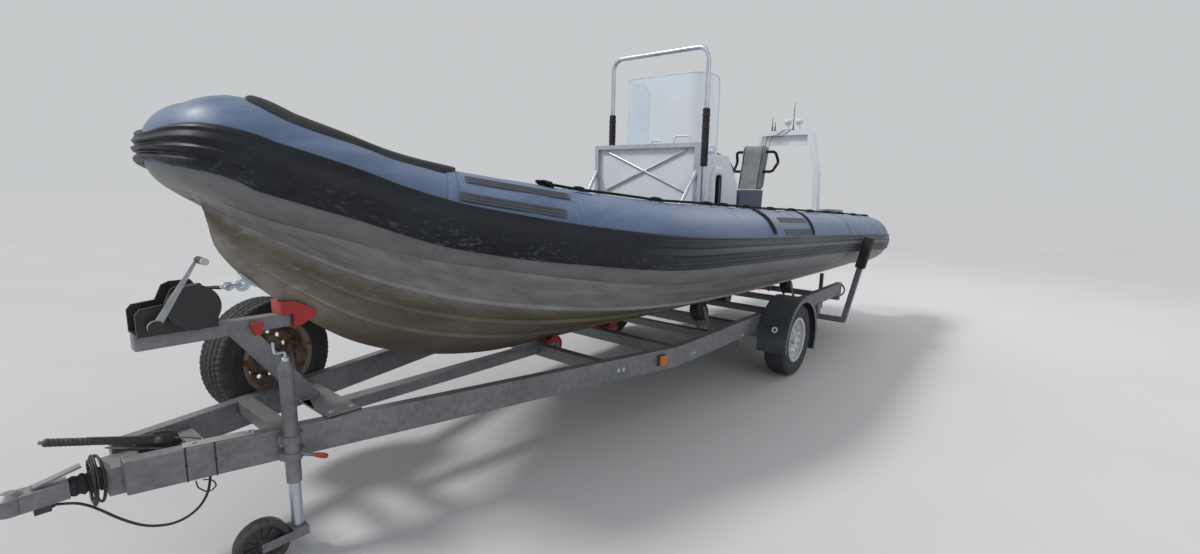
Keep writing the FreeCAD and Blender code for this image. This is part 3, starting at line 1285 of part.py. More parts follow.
node("jockey_leg", [fuse("jockey_leg_whole", [
    rod("jockey_inner", "jockey_leg_radius", jockey_up + Z_AXIS * leg_low,
        jockey_up + Z_AXIS * (leg_low + 440)),
    rod("jockey_swivel_pin", 10, jockey_up + Z_AXIS * (crown_low + 4),
        jockey_up + Z_AXIS * (leg_low + 2))])])
fork_y = S.jockey_wheel_width / 2 + 6 + S.jockey_fork_plate / 2
wheel_centre = jockey_up + Vector(S.jockey_trail, 0, S.jockey_wheel_radius)
crown = box("fork_crown", (62, 2 * fork_y + S.jockey_fork_plate, crown_high - crown_low),
            jockey_up + Z_AXIS * ((crown_low + crown_high) / 2))
arms = [bar("fork_arm_%d" % way, "jockey_fork_plate", 38,
            jockey_up + Vector(0, way * fork_y, S.jockey_wheel_radius),
            wheel_centre + Vector(14, way * fork_y, 0)) for way in (1, -1)]
axle_pin = rod("fork_axle", 8, wheel_centre - Y_AXIS * (fork_y + 8),
               wheel_centre + Y_AXIS * (fork_y + 8))
pin_hole = rod("fork_hole", 10 + S.running_fit, jockey_up + Z_AXIS * (crown_low - 5),
               jockey_up + Z_AXIS * (crown_high + 5))
node("jockey_fork", [cut("fork_bored", fuse("fork_whole", [crown, axle_pin] + arms),
                         pin_hole)])
wheel_half = S.jockey_wheel_width / 2
jockey_wheel = turned_body("jockey_roller", [
    ("8 + running_fit", "-jockey_wheel_width/2"), ("24", "-jockey_wheel_width/2"),
    ("26", "-14"), ("jockey_wheel_radius - 34", "-12"),
    ("jockey_wheel_radius - 26", "-jockey_wheel_width/2 + 4"),
    ("jockey_wheel_radius - 8", "-jockey_wheel_width/2"),
    ("jockey_wheel_radius", "-jockey_wheel_width/2 + 12"),
    ("jockey_wheel_radius", "jockey_wheel_width/2 - 12"),
    ("jockey_wheel_radius - 8", "jockey_wheel_width/2"),
    ("jockey_wheel_radius - 26", "jockey_wheel_width/2 - 4"),
    ("jockey_wheel_radius - 34", "12"), ("26", "14"), ("24", "jockey_wheel_width/2"),
    ("8 + running_fit", "jockey_wheel_width/2")],
    Placement(wheel_centre, Rotation(Z_AXIS, Y_AXIS)))
node("jockey_wheel", [jockey_wheel])

# Drawbar: housing between the beams' front ends, shaft and ball coupling
house_rear, house_front = S.beam_front_x - 280, S.beam_front_x + 40
inner_rear = beam_line_y(house_rear) - skew - S.seat_gap
inner_front = beam_line_y(S.beam_front_x) - skew - S.seat_gap
housing = prism("drawbar_housing", [
    (house_rear, -inner_rear, S.coupling_z - 55),
    (S.beam_front_x, -inner_front, S.coupling_z - 55),
    (house_front, -inner_front + 8, S.coupling_z - 55),
    (house_front, inner_front - 8, S.coupling_z - 55),
    (S.beam_front_x, inner_front, S.coupling_z - 55),
    (house_rear, inner_rear, S.coupling_z - 55)], Z_AXIS, 110)
shaft = rod("drawbar_shaft", 25, (house_front - 5, 0, S.coupling_z),
            (S.coupling_x - 60, 0, S.coupling_z))
head = [prism("coupling_neck", [
    (S.coupling_x - 150, -32, S.coupling_z - 30), (S.coupling_x - 20, -40, S.coupling_z - 30),
    (S.coupling_x - 20, 40, S.coupling_z - 30), (S.coupling_x - 150, 32, S.coupling_z - 30)],
    Z_AXIS, 64),
    rod("coupling_cup", 42, (S.coupling_x, 0, S.coupling_z - 30),
        (S.coupling_x, 0, S.coupling_z + 30)),
    cone("coupling_dome", 42, 20, (S.coupling_x, 0, S.coupling_z + 30),
         (S.coupling_x, 0, S.coupling_z + 46)),
    bar("coupling_handle", 34, 8, (S.coupling_x - 60, 0, S.coupling_z + 40),
        (S.coupling_x - 190, 0, S.coupling_z + 74)),
    bar("coupling_handle_leg", 34, 8, (S.coupling_x - 60, 0, S.coupling_z + 42),
        (S.coupling_x - 52, 0, S.coupling_z + 20))]
ball = doc.addObject("Part::Sphere", "coupling_ball_space")
bind(ball, "Radius", "ball_radius")
ball.Placement.Base = Vector(S.coupling_x, 0, S.coupling_z)
mouth = rod("coupling_mouth", "ball_radius", (S.coupling_x, 0, S.coupling_z - 60),
            (S.coupling_x, 0, S.coupling_z))
node("coupling", [cut("coupling_bored", fuse("coupling_whole", [housing, shaft] + head),
                      fuse("coupling_space", [ball, mouth]))])

# Bellows over the shaft: a row of ridges, each a pair of cones
bellows_front, ridges = S.coupling_x - 152, 4
pitch = (bellows_front - house_front - S.seat_gap) / ridges
ridge_cones = []
for k in range(ridges):
    start = house_front + S.seat_gap + k * pitch
    peak = 47 - 2.5 * k
    ridge_cones += [
        cone("ridge_rise_%d" % k, 34, peak, (start, 0, S.coupling_z),
             (start + pitch / 2, 0, S.coupling_z)),
        cone("ridge_fall_%d" % k, peak, 34, (start + pitch / 2, 0, S.coupling_z),
             (start + pitch, 0, S.coupling_z))]
shaft_space = rod("bellows_bore", 25 + S.seat_gap, (house_front - 20, 0, S.coupling_z),
                  (S.coupling_x - 100, 0, S.coupling_z))
node("bellows", [cut("bellows_bored", fuse("bellows_whole", ridge_cones), shaft_space)])

# Handbrake: quadrant bracket on the housing, lever and grip
brake_foot = S.coupling_z + 55 + S.seat_gap
brake = [box("brake_plate", (150, 70, 8), (S.brake_x - 10, S.brake_y - 14, brake_foot + 4)),
         prism("brake_quadrant", [(S.brake_x + ahead, S.brake_y - 19, brake_foot + rise)
                                  for ahead, rise in ((-80, 0), (60, 0), (80, 46), (10, 82),
                                                      (-60, 60))], Y_AXIS, 10),
         bar("brake_lever", 12, 30, (S.brake_x - 40, S.brake_y, brake_foot + 40),
             (S.brake_x + 220, S.brake_y, brake_foot + 120)),
         rod("brake_grip", 15, (S.brake_x + 200, S.brake_y, brake_foot + 113),
             (S.brake_x + 325, S.brake_y, brake_foot + 152)),
         rod("brake_pivot", 12, (S.brake_x + 5, S.brake_y - 20, brake_foot + 53),
             (S.brake_x + 5, S.brake_y + 8, brake_foot + 53))]
node("handbrake", [fuse("handbrake_whole", brake)])

# Lamps: an amber side marker on each beam and a white reflector on each mudguard
lamps = []
for side, way in SIDES:
    face = beam_line_y(S.marker_x) + skew + S.seat_gap
    lamps.append(box("marker_" + side, (56, 26, 62),
                     (S.marker_x, way * (face + 14), S.beam_top - 62),
                     Rotation(Z_AXIS, -way * math.degrees(beam_turn))))
    reach = S.tyre_radius + S.guard_clearance + S.seat_gap
    angle = math.radians(22)
    foot = Vector(reach * math.cos(angle), way * S.reflector_y,
                  S.tyre_radius + reach * math.sin(angle))
    out = Vector(math.cos(angle), 0, math.sin(angle))
    lamps.append(rod("reflector_" + side, 30, foot, foot + out * 9))
node("lamps", lamps)

# Connecting cable: hangs in a loop from the beam to its plug beside the bellows
CABLE_ROUTE = [(4096, 173, 413.9), (4101, 171, 366), (4115, 165, 319), (4141, 155, 278),
               (4177, 140, 248), (4220, 123, 233), (4265, 103, 235), (4308, 83, 249),
               (4345, 63, 274), (4380, 45, 304), (4412, 28, 338), (4446, 14, 371),
               (4486, 4, 398), (4533, 0, 409.7)]
plug_foot = Vector(*CABLE_ROUTE[-1])
plug_run = (plug_foot - Vector(*CABLE_ROUTE[-2])).normalize()
node("cable", [pipe("cable_tube", "cable_radius", CABLE_ROUTE, None)])
node("plug", [fuse("plug_whole", [
    cone("plug_collar", 8, 14, plug_foot + plug_run * S.seat_gap, plug_foot + plug_run * 14),
    rod("plug_body", 19, plug_foot + X_AXIS * 12, plug_foot + X_AXIS * 58)])])

doc.recompute()
for piece in doc.Objects:
    if "Invalid" in piece.State or "Error" in piece.State:
        raise RuntimeError("%s could not be built" % piece.Label)
for piece in NODES:
    if piece.Shape.isNull() or not piece.Shape.isValid() or not piece.Shape.Solids:
        raise RuntimeError("%s has no sound solid" % piece.Label)

os.makedirs("parts", exist_ok=True)
for piece in NODES:
    piece.Shape.exportStep("parts/%s.step" % piece.Label)
    box_here = piece.Shape.BoundBox
    print("%-20s solids %2d  x %8.1f %8.1f  y %8.1f %8.1f  z %7.1f %7.1f" % (
        piece.Label, len(piece.Shape.Solids), box_here.XMin, box_here.XMax, box_here.YMin,
        box_here.YMax, box_here.ZMin, box_here.ZMax))
print("cable bends, mm: " + ", ".join("%.0f" % size for size in BENDS["cable_tube"]))
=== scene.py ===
import math

import bmesh
import bpy
import numpy as np
from mathutils import Matrix, Vector, noise


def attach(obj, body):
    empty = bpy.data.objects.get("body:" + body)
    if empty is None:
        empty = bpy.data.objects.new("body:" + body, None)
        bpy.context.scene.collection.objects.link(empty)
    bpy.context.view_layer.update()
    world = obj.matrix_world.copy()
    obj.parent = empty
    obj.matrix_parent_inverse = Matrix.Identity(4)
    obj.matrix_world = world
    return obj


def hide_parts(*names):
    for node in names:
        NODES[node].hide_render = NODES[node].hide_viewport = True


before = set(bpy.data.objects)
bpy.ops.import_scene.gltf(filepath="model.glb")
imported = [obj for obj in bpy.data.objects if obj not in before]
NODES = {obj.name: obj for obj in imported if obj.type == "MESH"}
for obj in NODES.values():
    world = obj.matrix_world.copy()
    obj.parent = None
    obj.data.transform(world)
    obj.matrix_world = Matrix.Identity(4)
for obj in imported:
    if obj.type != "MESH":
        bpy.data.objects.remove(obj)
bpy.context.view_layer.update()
AXLE_X = -0.9035
SIDES = (("port", 1), ("starboard", -1))
UP = Vector((0, 0, 1))
TO_PORT = Vector((0, 1, 0))
AHEAD = Vector((1, 0, 0))


# Places are written from the wheel axle, which stands at AXLE_X in the part's frame
def P(x, y, z):
    return Vector((x + AXLE_X, y, z))


# ---------------------------------------------------------------- materials
MATERIALS = {}


class Tree:
    """A small node-tree writer for one procedural material; colour is its colour so far."""

    def __init__(self, name):
        self.material = MATERIALS[name] = bpy.data.materials.new(name)
        self.material.use_nodes = True
        self.nodes = self.material.node_tree.nodes
        self.coords = self.add("TexCoord").outputs["Object"]
        self.normal = self.add("NewGeometry").outputs["Normal"]
        self.colour = None

    def feed(self, socket, value):
        """Links a socket, or sets it to a number or a colour."""
        if isinstance(value, bpy.types.NodeSocket):
            self.material.node_tree.links.new(value, socket)
        else:
            socket.default_value = value + (1,) if isinstance(value, tuple) else value

    def fill(self, node, inputs):
        for name, value in inputs.items():
            self.feed(node.inputs[name.replace("_", " ")], value)
        return node

    def add(self, kind, **inputs):
        return self.fill(self.nodes.new("ShaderNode" + kind), inputs)

    def math(self, kind, a, b, clamp=False):
        n = self.add("Math")
        n.operation = kind
        n.use_clamp = clamp
        self.feed(n.inputs[0], a)
        self.feed(n.inputs[1], b)
        return n.outputs[0]

    def times(self, a, b):
        return self.math("MULTIPLY", a, b)

    def noise(self, scale, detail=4, rough=0.55, stretch=None, distort=0):
        place = self.coords
        if stretch:
            mapping = self.add("Mapping", Vector=place)
            mapping.inputs["Scale"].default_value = stretch
            place = mapping.outputs["Vector"]
        return self.add("TexNoise", Vector=place, Scale=scale, Detail=detail, Roughness=rough,
                        Distortion=distort).outputs["Fac"]

    def voronoi(self, scale, randomness=1):
        return self.add("TexVoronoi", Vector=self.coords, Scale=scale,
                        Randomness=randomness).outputs["Distance"]

    def wave(self, scale, axis, distort=0, detail=0):
        n = self.add("TexWave", Vector=self.coords, Scale=scale, Distortion=distort,
                     Detail=detail)
        n.bands_direction = axis
        return n.outputs["Fac"]

    def stored(self, name):
        """A value that is kept on the mesh's points, such as the share across a strip."""
        n = self.add("Attribute")
        n.attribute_name = name
        return n.outputs["Fac"]

    def ramp(self, value, *stops):
        """A colour ramp through (place, colour or grey) stops."""
        n = self.add("ValToRGB", Fac=value)
        elements = n.color_ramp.elements
        while len(elements) < len(stops):
            elements.new(0.5)
        for element, (place, tone) in zip(elements, stops):
            element.position = place
            element.color = (tone if isinstance(tone, tuple) else (tone,) * 3) + (1,)
        return n.outputs["Color"]

    def fade(self, value, low, high, start=0.3, end=0.7):
        return self.ramp(value, (start, low), (end, high))

    def mix(self, factor, a, b):
        n = self.add("Mix")
        n.data_type = "RGBA"
        for place, value in ((0, factor), (6, a), (7, b)):
            self.feed(n.inputs[place], value)
        return n.outputs[2]

    def over(self, factor, tone):
        """Lays a tone over the colour so far."""
        self.colour = self.mix(factor, self.colour, tone)

    def span(self, vector, axis, low, high):
        """0 where a vector's share along an axis is low, and 1 where it is high."""
        share = self.add("SeparateXYZ", Vector=vector).outputs["XYZ".index(axis)]
        return self.add("MapRange", Value=share, From_Min=low, From_Max=high).outputs[0]

    def place(self, axis, low, high):
        """Where the surface is, in metres in the part's frame."""
        return self.span(self.coords, axis, low, high)

    def facing(self, low, high):
        """How far the surface faces up."""
        return self.span(self.normal, "Z", low, high)

    def bump(self, *layers):
        """Bump layers of (height, strength, distance), one over the other."""
        last = None
        for height, strength, distance in layers:
            n = self.add("Bump", Height=height, Strength=strength, Distance=distance)
            if last:
                self.feed(n.inputs["Normal"], last)
            last = n.outputs["Normal"]
        self.feed(self.nodes["Principled BSDF"].inputs["Normal"], last)

    def finish(self, rough, metallic=0, **inputs):
        inputs.update(Base_Color=self.colour, Roughness=rough, Metallic=metallic)
        self.fill(self.nodes["Principled BSDF"], inputs)


def recipe(write):
    """Makes the material that a function describes, under the function's name."""
    write(Tree(write.__name__))
    return write


@recipe
def collar_fabric(t):
    """Coated blue cloth: smeared, spotted, with a painted sky highlight on top, and greyer
    underneath with dirt and painted shade.
    """
    t.colour = t.fade(t.noise(2.2, 5, 0.6), (0.07, 0.118, 0.215), (0.108, 0.166, 0.285))
    smear = t.noise(9, 6, 0.65, stretch=(0.25, 1, 1))
    t.over(0.4, t.fade(smear, (0.06, 0.098, 0.172), (0.13, 0.188, 0.3), 0.35, 0.62))
    # Painted highlight: a paler blue on the faces that turn up, as if lit by the sky
    t.over(t.times(t.facing(0.35, 0.95), t.fade(smear, 0.1, 0.5, 0.4)), (0.25, 0.295, 0.365))
    t.over(t.fade(t.noise(38, 3, 0.7), 0, 0.35, 0.64), (0.09, 0.095, 0.1))
    # Greyer on the faces that turn down: dirt, and painted shade under the collar
    t.over(t.times(t.facing(-0.26, -0.46), 0.9),
           t.fade(smear, (0.115, 0.108, 0.102), (0.195, 0.188, 0.182)))
    weave = t.math("ADD", t.wave(420, "X"), t.wave(420, "Z"))
    t.bump((t.noise(5, 3), 0.35, 0.006), (t.noise(60, 4), 0.25, 0.0008),
           (weave, 0.12, 0.0002))
    t.finish(t.fade(smear, 0.34, 0.55), Coat_Weight=0.06, Coat_Roughness=0.3,
             Specular_IOR_Level=0.35)


@recipe
def hull_gelcoat(t):
    """Grey sides with scuffs, a brown stained bottom, and pale scrapes at the stem."""
    def ragged(value, by, amount):
        return t.math("ADD", value, t.times(t.math("SUBTRACT", by, 0.5), amount))

    share = t.stored("girth")
    streak = t.noise(14, 5, 0.7, stretch=(0.12, 1, 1))
    t.colour = t.fade(t.noise(3, 6, 0.6, stretch=(0.35, 1, 1)), (0.155, 0.152, 0.152),
                      (0.26, 0.26, 0.268))
    t.over(0.4, t.fade(streak, (0.12, 0.11, 0.1), (0.32, 0.32, 0.32), 0.4, 0.65))
    t.over(t.fade(ragged(share, streak, 0.16), 1, 0, 0.8, 1.08),
           t.fade(t.noise(5.5, 6, 0.65, stretch=(0.3, 1, 1)), (0.07, 0.055, 0.038),
                  (0.155, 0.128, 0.092)))
    scuff = t.noise(26, 6, 0.75, stretch=(0.2, 1, 1.4), distort=0.6)
    near_bow = t.math("ADD", t.times(t.place("X", 1.7, 2.7), 0.7), 0.15)
    t.over(t.times(t.fade(scuff, 0, 0.55, 0.56, 0.68), near_bow), (0.36, 0.345, 0.32))
    from_keel = ragged(share, t.noise(7, 4), 0.3)
    keel = t.fade(from_keel, 1, 0, 0.12, 0.4)
    stem = t.times(t.fade(from_keel, 1, 0, 0.3, 0.66),
                   t.times(t.place("X", 2.25, 2.7), t.place("Z", 0.82, 1.05)))
    scrape = t.noise(16, 4, 0.6, stretch=(0.35, 1, 1), distort=0.4)
    t.over(t.times(keel, 0.5), (0.066, 0.053, 0.038))
    t.over(t.times(stem, 0.85), t.fade(t.noise(7, 4, 0.55), (0.17, 0.148, 0.126),
                                       (0.3, 0.272, 0.242), 0.35, 0.65))
    t.over(t.times(stem, t.fade(scrape, 0, 0.6, 0.56, 0.66)), (0.36, 0.33, 0.295))
    t.bump((t.noise(4, 3), 0.2, 0.004), (streak, 0.15, 0.001),
           (t.times(scrape, keel), 0.2, 0.0015))
    t.finish(t.fade(t.math("MAXIMUM", streak, keel), 0.3, 0.62, 0.2, 0.8))


@recipe
def band_rubber(t):
    """Black at the bow with pale scuffs low down; grey-blue ribs further aft, with painted
    shade in the grooves between them.
    """
    # The near-black groove tone is painted shade in the grooves between the ribs
    groove_shade, slope = (0.004, 0.005, 0.007), 0.008
    across, aft = t.stored("across"), t.stored("ribbed")
    stops = []
    for tone, low, high in (
            ((0.034, 0.042, 0.058), 0.02, 0.13), ((0.044, 0.054, 0.072), 0.16, 0.26),
            ((0.04, 0.048, 0.062), 0.29, 0.41), ((0.112, 0.118, 0.124), 0.46, 0.63),
            ((0.052, 0.066, 0.09), 0.67, 0.78), ((0.058, 0.074, 0.102), 0.81, 0.89),
            ((0.062, 0.08, 0.11), 0.92, 0.99)):
        stops += [(low, groove_shade), (low + slope, tone), (high - slope, tone), (high, groove_shade)]
    cloud = t.noise(8, 6, 0.65, stretch=(0.25, 1, 1))
    t.colour = t.ramp(across, *stops)
    t.over(0.15, t.fade(cloud, (0.015, 0.018, 0.024), (0.065, 0.076, 0.094)))
    t.colour = t.mix(aft, t.fade(cloud, (0.006, 0.007, 0.01), (0.017, 0.02, 0.027)), t.colour)
    scratch = t.noise(70, 2.5, 0.6, stretch=(0.045, 1, 1), distort=0.1)
    low = t.times(t.fade(across, 1, 0.12, 0.04, 0.6),
                  t.fade(t.noise(5, 3, 0.6), 0.15, 1, 0.42, 0.6))
    bow = t.math("SUBTRACT", 1, aft, clamp=True)
    t.over(t.times(t.times(low, bow), t.fade(scratch, 0, 0.5, 0.54, 0.72)),
           (0.2, 0.215, 0.24))
    t.bump((t.noise(14, 4, stretch=(0.4, 1, 1)), 0.3, 0.003), (scratch, 0.1, 0.0005))
    t.finish(t.fade(cloud, 0.32, 0.52), Specular_IOR_Level=0.22)


@recipe
def galvanised(t):
    """Zinc with soft crystals and clouds, stained in spots and paler on top."""
    flakes, cloud = t.voronoi(34), t.noise(4, 6, 0.65)
    t.colour = t.ramp(flakes, (0.1, (0.15, 0.155, 0.17)), (0.5, (0.195, 0.2, 0.215)),
                      (0.9, (0.25, 0.255, 0.27)))
    t.over(0.55, t.fade(cloud, (0.11, 0.112, 0.122), (0.235, 0.24, 0.255), 0.35, 0.65))
    t.over(t.times(t.fade(t.noise(18, 6, 0.75), 0, 0.7, 0.55, 0.68), 0.6),
           (0.085, 0.07, 0.056))
    t.over(t.times(t.facing(0.5, 0.95), 0.35), (0.34, 0.335, 0.33))
    t.bump((t.noise(40, 4), 0.2, 0.001), (flakes, 0.06, 0.0004))
    t.finish(t.fade(cloud, 0.4, 0.6), 0.45)


@recipe
def rail_steel(t):
    """Drawn tube, dull and blue from the sky, with fine marks along it."""
    cloud = t.noise(5, 4, 0.6)
    t.colour = t.fade(cloud, (0.4, 0.45, 0.51), (0.56, 0.61, 0.67))
    t.over(t.fade(t.noise(40, 4, 0.6, stretch=(1, 1, 0.15)), 0, 0.35, 0.55, 0.75),
           (0.3, 0.31, 0.33))
    t.bump((t.noise(90, 2), 0.06, 0.0002))
    t.finish(t.fade(cloud, 0.24, 0.38), 0.7)


@recipe
def guard_plastic(t):
    """Smooth black sheet, with road dirt low down and a painted bluish highlight on its top.
    """
    cloud = t.noise(6, 5, 0.6)
    t.colour = t.fade(cloud, (0.036, 0.042, 0.052), (0.058, 0.066, 0.079))
    t.over(t.times(t.fade(t.noise(20, 6, 0.7), 0, 0.6, 0.5), t.place("Z", 0.5, 0.25)),
           (0.11, 0.1, 0.085))
    # Painted highlight: a paler bluish grey on the faces that turn up
    t.over(t.times(t.facing(0.5, 1), 0.18), (0.17, 0.175, 0.185))
    t.bump((t.noise(130, 2), 0.06, 0.0003))
    t.finish(t.fade(cloud, 0.24, 0.4))


@recipe
def winch_paint(t):
    """Black cheeks and cover, a bare steel crank arm and a black grip with a painted highlight
    at its end.
    """
    cloud = t.noise(22, 5, 0.65)
    t.colour = t.fade(cloud, (0.008, 0.008, 0.009), (0.02, 0.02, 0.022))
    t.over(t.fade(t.noise(55, 6, 0.75), 0, 0.8, 0.62, 0.68), (0.1, 0.06, 0.04))
    t.over(t.times(t.place("Y", 0.107, 0.1075), t.place("Y", 0.121, 0.1205)),
           t.fade(cloud, (0.22, 0.23, 0.25), (0.36, 0.37, 0.39)))
    # Painted highlight: the grip's end is pale
    t.over(t.place("Y", 0.188, 0.189), (0.42, 0.42, 0.41))
    t.bump((t.noise(120, 3), 0.15, 0.0004))
    t.finish(t.fade(cloud, 0.36, 0.58))


@recipe
def tyre_rubber(t):
    """Black with brown dust in patches."""
    cloud = t.noise(7, 6, 0.65)
    t.colour = t.fade(cloud, (0.018, 0.019, 0.022), (0.042, 0.044, 0.049))
    t.over(t.fade(t.noise(26, 6, 0.7), 0, 0.45, 0.5), (0.1, 0.09, 0.078))
    t.bump((t.noise(50, 4), 0.25, 0.0008), (t.noise(320, 2), 0.2, 0.0003))
    t.finish(t.fade(cloud, 0.62, 0.85))


@recipe
def lamp_lens(t):
    """Amber at the side markers, further ahead, and white at the guards' reflectors."""
    cells = t.voronoi(420, 0.15)
    amber, white = (t.fade(cells, low, high, 0.1, 0.6) for low, high in (
        ((0.36, 0.075, 0.005), (0.62, 0.17, 0.015)), ((0.62, 0.63, 0.64), (0.82, 0.82, 0.83))))
    t.colour = t.mix(t.place("X", 0, 0.1), white, amber)
    t.bump((cells, 0.35, 0.0006))
    t.finish(t.fade(t.noise(30, 4), 0.12, 0.3))


@recipe
def clear_sheet(t):
    """See-through plastic with an uneven haze."""
    haze = t.noise(1.8, 3, 0.45, distort=0.6)
    t.colour = t.fade(haze, (0.56, 0.68, 0.79), (0.76, 0.86, 0.94))
    t.bump((t.noise(3, 2), 0.1, 0.002))
    t.finish(t.fade(t.noise(12, 4), 0.06, 0.16), Alpha=t.fade(haze, 0.2, 0.46, 0.35))


@recipe
def webbing(t):
    """Black strands, woven across."""
    t.colour = t.fade(t.noise(30, 5), (0.008, 0.008, 0.009), (0.024, 0.024, 0.027))
    t.bump((t.wave(260, "X", 1, 1), 0.5, 0.0008), (t.noise(200, 3), 0.3, 0.0004))
    t.finish(0.85, Specular_IOR_Level=0.2)


@recipe
def strap_red(t):
    """Worn red-brown webbing, woven across and faded in places."""
    t.colour = t.fade(t.noise(18, 5, 0.65), (0.075, 0.022, 0.018), (0.165, 0.055, 0.042))
    weave = t.wave(700, "Y")
    t.over(t.times(weave, 0.3), (0.05, 0.03, 0.028))
    t.bump((weave, 0.4, 0.0004), (t.noise(300, 3), 0.2, 0.0003))
    t.finish(0.8)


@recipe
def cover_cloth(t):
    """Stained grey cloth with soft creases."""
    t.colour = t.fade(t.noise(6, 6, 0.65), (0.135, 0.148, 0.162), (0.225, 0.24, 0.255))
    t.over(t.fade(t.noise(14, 6, 0.7), 0, 0.6, 0.55, 0.75), (0.085, 0.09, 0.095))
    weave = t.math("ADD", t.wave(330, "Y"), t.wave(330, "Z"))
    t.bump((t.noise(9, 4, distort=1), 0.5, 0.01), (weave, 0.3, 0.0004))
    t.finish(0.82)


@recipe
def grip_pad(t):
    """Dark anti-slip sheet with a fine pebble grain."""
    cloud = t.noise(10, 6, 0.65, stretch=(0.5, 1, 1))
    t.colour = t.fade(cloud, (0.014, 0.015, 0.016), (0.042, 0.044, 0.047))
    t.bump((t.voronoi(520), 0.8, 0.0012), (cloud, 0.2, 0.002))
    t.finish(0.72, Specular_IOR_Level=0.3)


@recipe
def floor_paper(t):
    """A faint uneven tone."""
    t.colour = t.fade(t.noise(0.6, 3), (0.525, 0.53, 0.54), (0.55, 0.555, 0.565))
    t.bump((t.noise(60, 3), 0.05, 0.001))
    t.finish(0.8)


def rusted(name, clean, amount):
    """Painted steel with rust that breaks through in patches."""
    t = Tree(name)
    t.colour = t.fade(t.noise(9, 6, 0.7), tuple(0.8 * c for c in clean), clean)
    patches = t.fade(t.noise(15, 8, 0.75), 0, 1, 0.62 - amount, 0.72 - amount)
    t.over(patches, t.ramp(t.noise(60, 6, 0.7), (0.3, (0.07, 0.028, 0.014)),
                           (0.55, (0.17, 0.075, 0.033)), (0.75, (0.26, 0.14, 0.07))))
    t.bump((t.times(patches, t.noise(120, 4)), 0.5, 0.0012))
    t.finish(t.fade(patches, 0.38, 0.85, 0.2, 0.8), 0.25)


def worn(name, dark, light, rough, dust=None, scale=6, grain=260, depth=0.0004):
    """Uneven colour, uneven gloss and a fine surface grain; dust gathers on top faces."""
    t = Tree(name)
    t.colour = t.fade(t.noise(scale, 6, 0.6), dark, light)
    fine = t.noise(scale * 9, 5, 0.65)
    t.over(0.35, t.fade(fine, dark, light, 0.35, 0.65))
    if dust:
        t.over(t.times(t.facing(0.2, 0.95), t.fade(fine, 0.1, 0.8, 0.4, 0.65)), dust)
    t.bump((t.noise(scale * 3, 3), 0.25, 0.004), (t.noise(grain, 3), 0.5, depth))
    t.finish(t.fade(fine, *rough))


rusted("rim_silver", (0.6, 0.61, 0.63), -0.02)
rusted("rim_rusty", (0.34, 0.29, 0.24), 0.13)
worn("deck_grey", (0.22, 0.23, 0.24), (0.36, 0.37, 0.38), (0.6, 0.8), (0.3, 0.27, 0.22),
     grain=320, depth=0.0012)
worn("wear_pad", (0.034, 0.041, 0.052), (0.074, 0.085, 0.102), (0.5, 0.7), grain=380,
     depth=0.0006)
worn("console_white", (0.56, 0.61, 0.66), (0.7, 0.74, 0.78), (0.25, 0.4),
     (0.42, 0.41, 0.38), 4, 90)
worn("sheet_edge", (0.52, 0.6, 0.66), (0.7, 0.77, 0.82), (0.12, 0.25), grain=200,
     depth=0.0001)
worn("dark_plastic", (0.018, 0.019, 0.021), (0.05, 0.052, 0.056), (0.42, 0.62),
     (0.16, 0.145, 0.125))
worn("foam", (0.01, 0.01, 0.011), (0.028, 0.028, 0.03), (0.8, 0.95), grain=420, depth=0.0012)
worn("dark_glass", (0.004, 0.005, 0.006), (0.012, 0.013, 0.015), (0.04, 0.12), grain=200,
     depth=0.00005)
worn("pedestal_blue", (0.016, 0.03, 0.07), (0.035, 0.06, 0.125), (0.3, 0.5),
     (0.14, 0.14, 0.15))
worn("red_roller", (0.28, 0.012, 0.01), (0.48, 0.035, 0.022), (0.4, 0.6), (0.25, 0.15, 0.12))
worn("dark_roller", (0.018, 0.016, 0.014), (0.06, 0.05, 0.04), (0.6, 0.8), (0.13, 0.11, 0.08))
worn("board_paint", (0.3, 0.31, 0.32), (0.46, 0.47, 0.48), (0.35, 0.55), (0.25, 0.22, 0.18))
worn("cable_black", (0.01, 0.01, 0.011), (0.024, 0.024, 0.026), (0.35, 0.55), grain=300,
     depth=0.0002)

EDGE_ANGLE = math.radians(32)


# ---------------------------------------------------------------- shapes
def linked(name, data):
    obj = bpy.data.objects.new(name, data)
    bpy.context.scene.collection.objects.link(obj)
    return obj


def dress(obj, material):
    obj.data.materials.clear()
    obj.data.materials.append(MATERIALS[material])


def finished(obj, material, replaces=None, body="boat_and_trailer"):
    dress(obj, material)
    if replaces:
        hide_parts(replaces)
    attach(obj, body)
    return obj


def mesh_object(name, verts, faces, sharp=40, weld=False, **values):
    """A mesh from points about the axle; its faces are turned outward and smoothed.

    Values are kept on its points, for its material to read.
    """
    mesh = bpy.data.meshes.new(name)
    mesh.from_pydata([P(*v) for v in verts], [], faces)
    for key, numbers in values.items():
        attribute = mesh.attributes.new(key, "FLOAT", "POINT")
        attribute.data.foreach_set("value", np.array(numbers, np.float32))
    work = bmesh.new()
    work.from_mesh(mesh)
    if weld:
        bmesh.ops.remove_doubles(work, verts=work.verts, dist=0.0001)
    bmesh.ops.recalc_face_normals(work, faces=work.faces)
    work.to_mesh(mesh)
    work.free()
    mesh.shade_smooth()
    mesh.set_sharp_from_angle(angle=math.radians(sharp))
    return linked(name, mesh)


def soften(obj, width, segments=2):
    edge = obj.modifiers.new("edge", "BEVEL")
    edge.width = width
    edge.segments = segments
    edge.limit_method = "ANGLE"
    edge.angle_limit = EDGE_ANGLE
    edge.harden_normals = True
    edge.use_clamp_overlap = True


def make(name, parts, material, bevel=0, sharp=40, **more):
    """One piece from a list of (verts, faces), with rounded edges where bevel is given."""
    verts, faces = [], []
    for points, sides in parts:
        faces += [tuple(k + len(verts) for k in face) for face in sides]
        verts += points
    obj = mesh_object(name, verts, faces, sharp)
    if bevel:
        soften(obj, bevel)
    return finished(obj, material, **more)


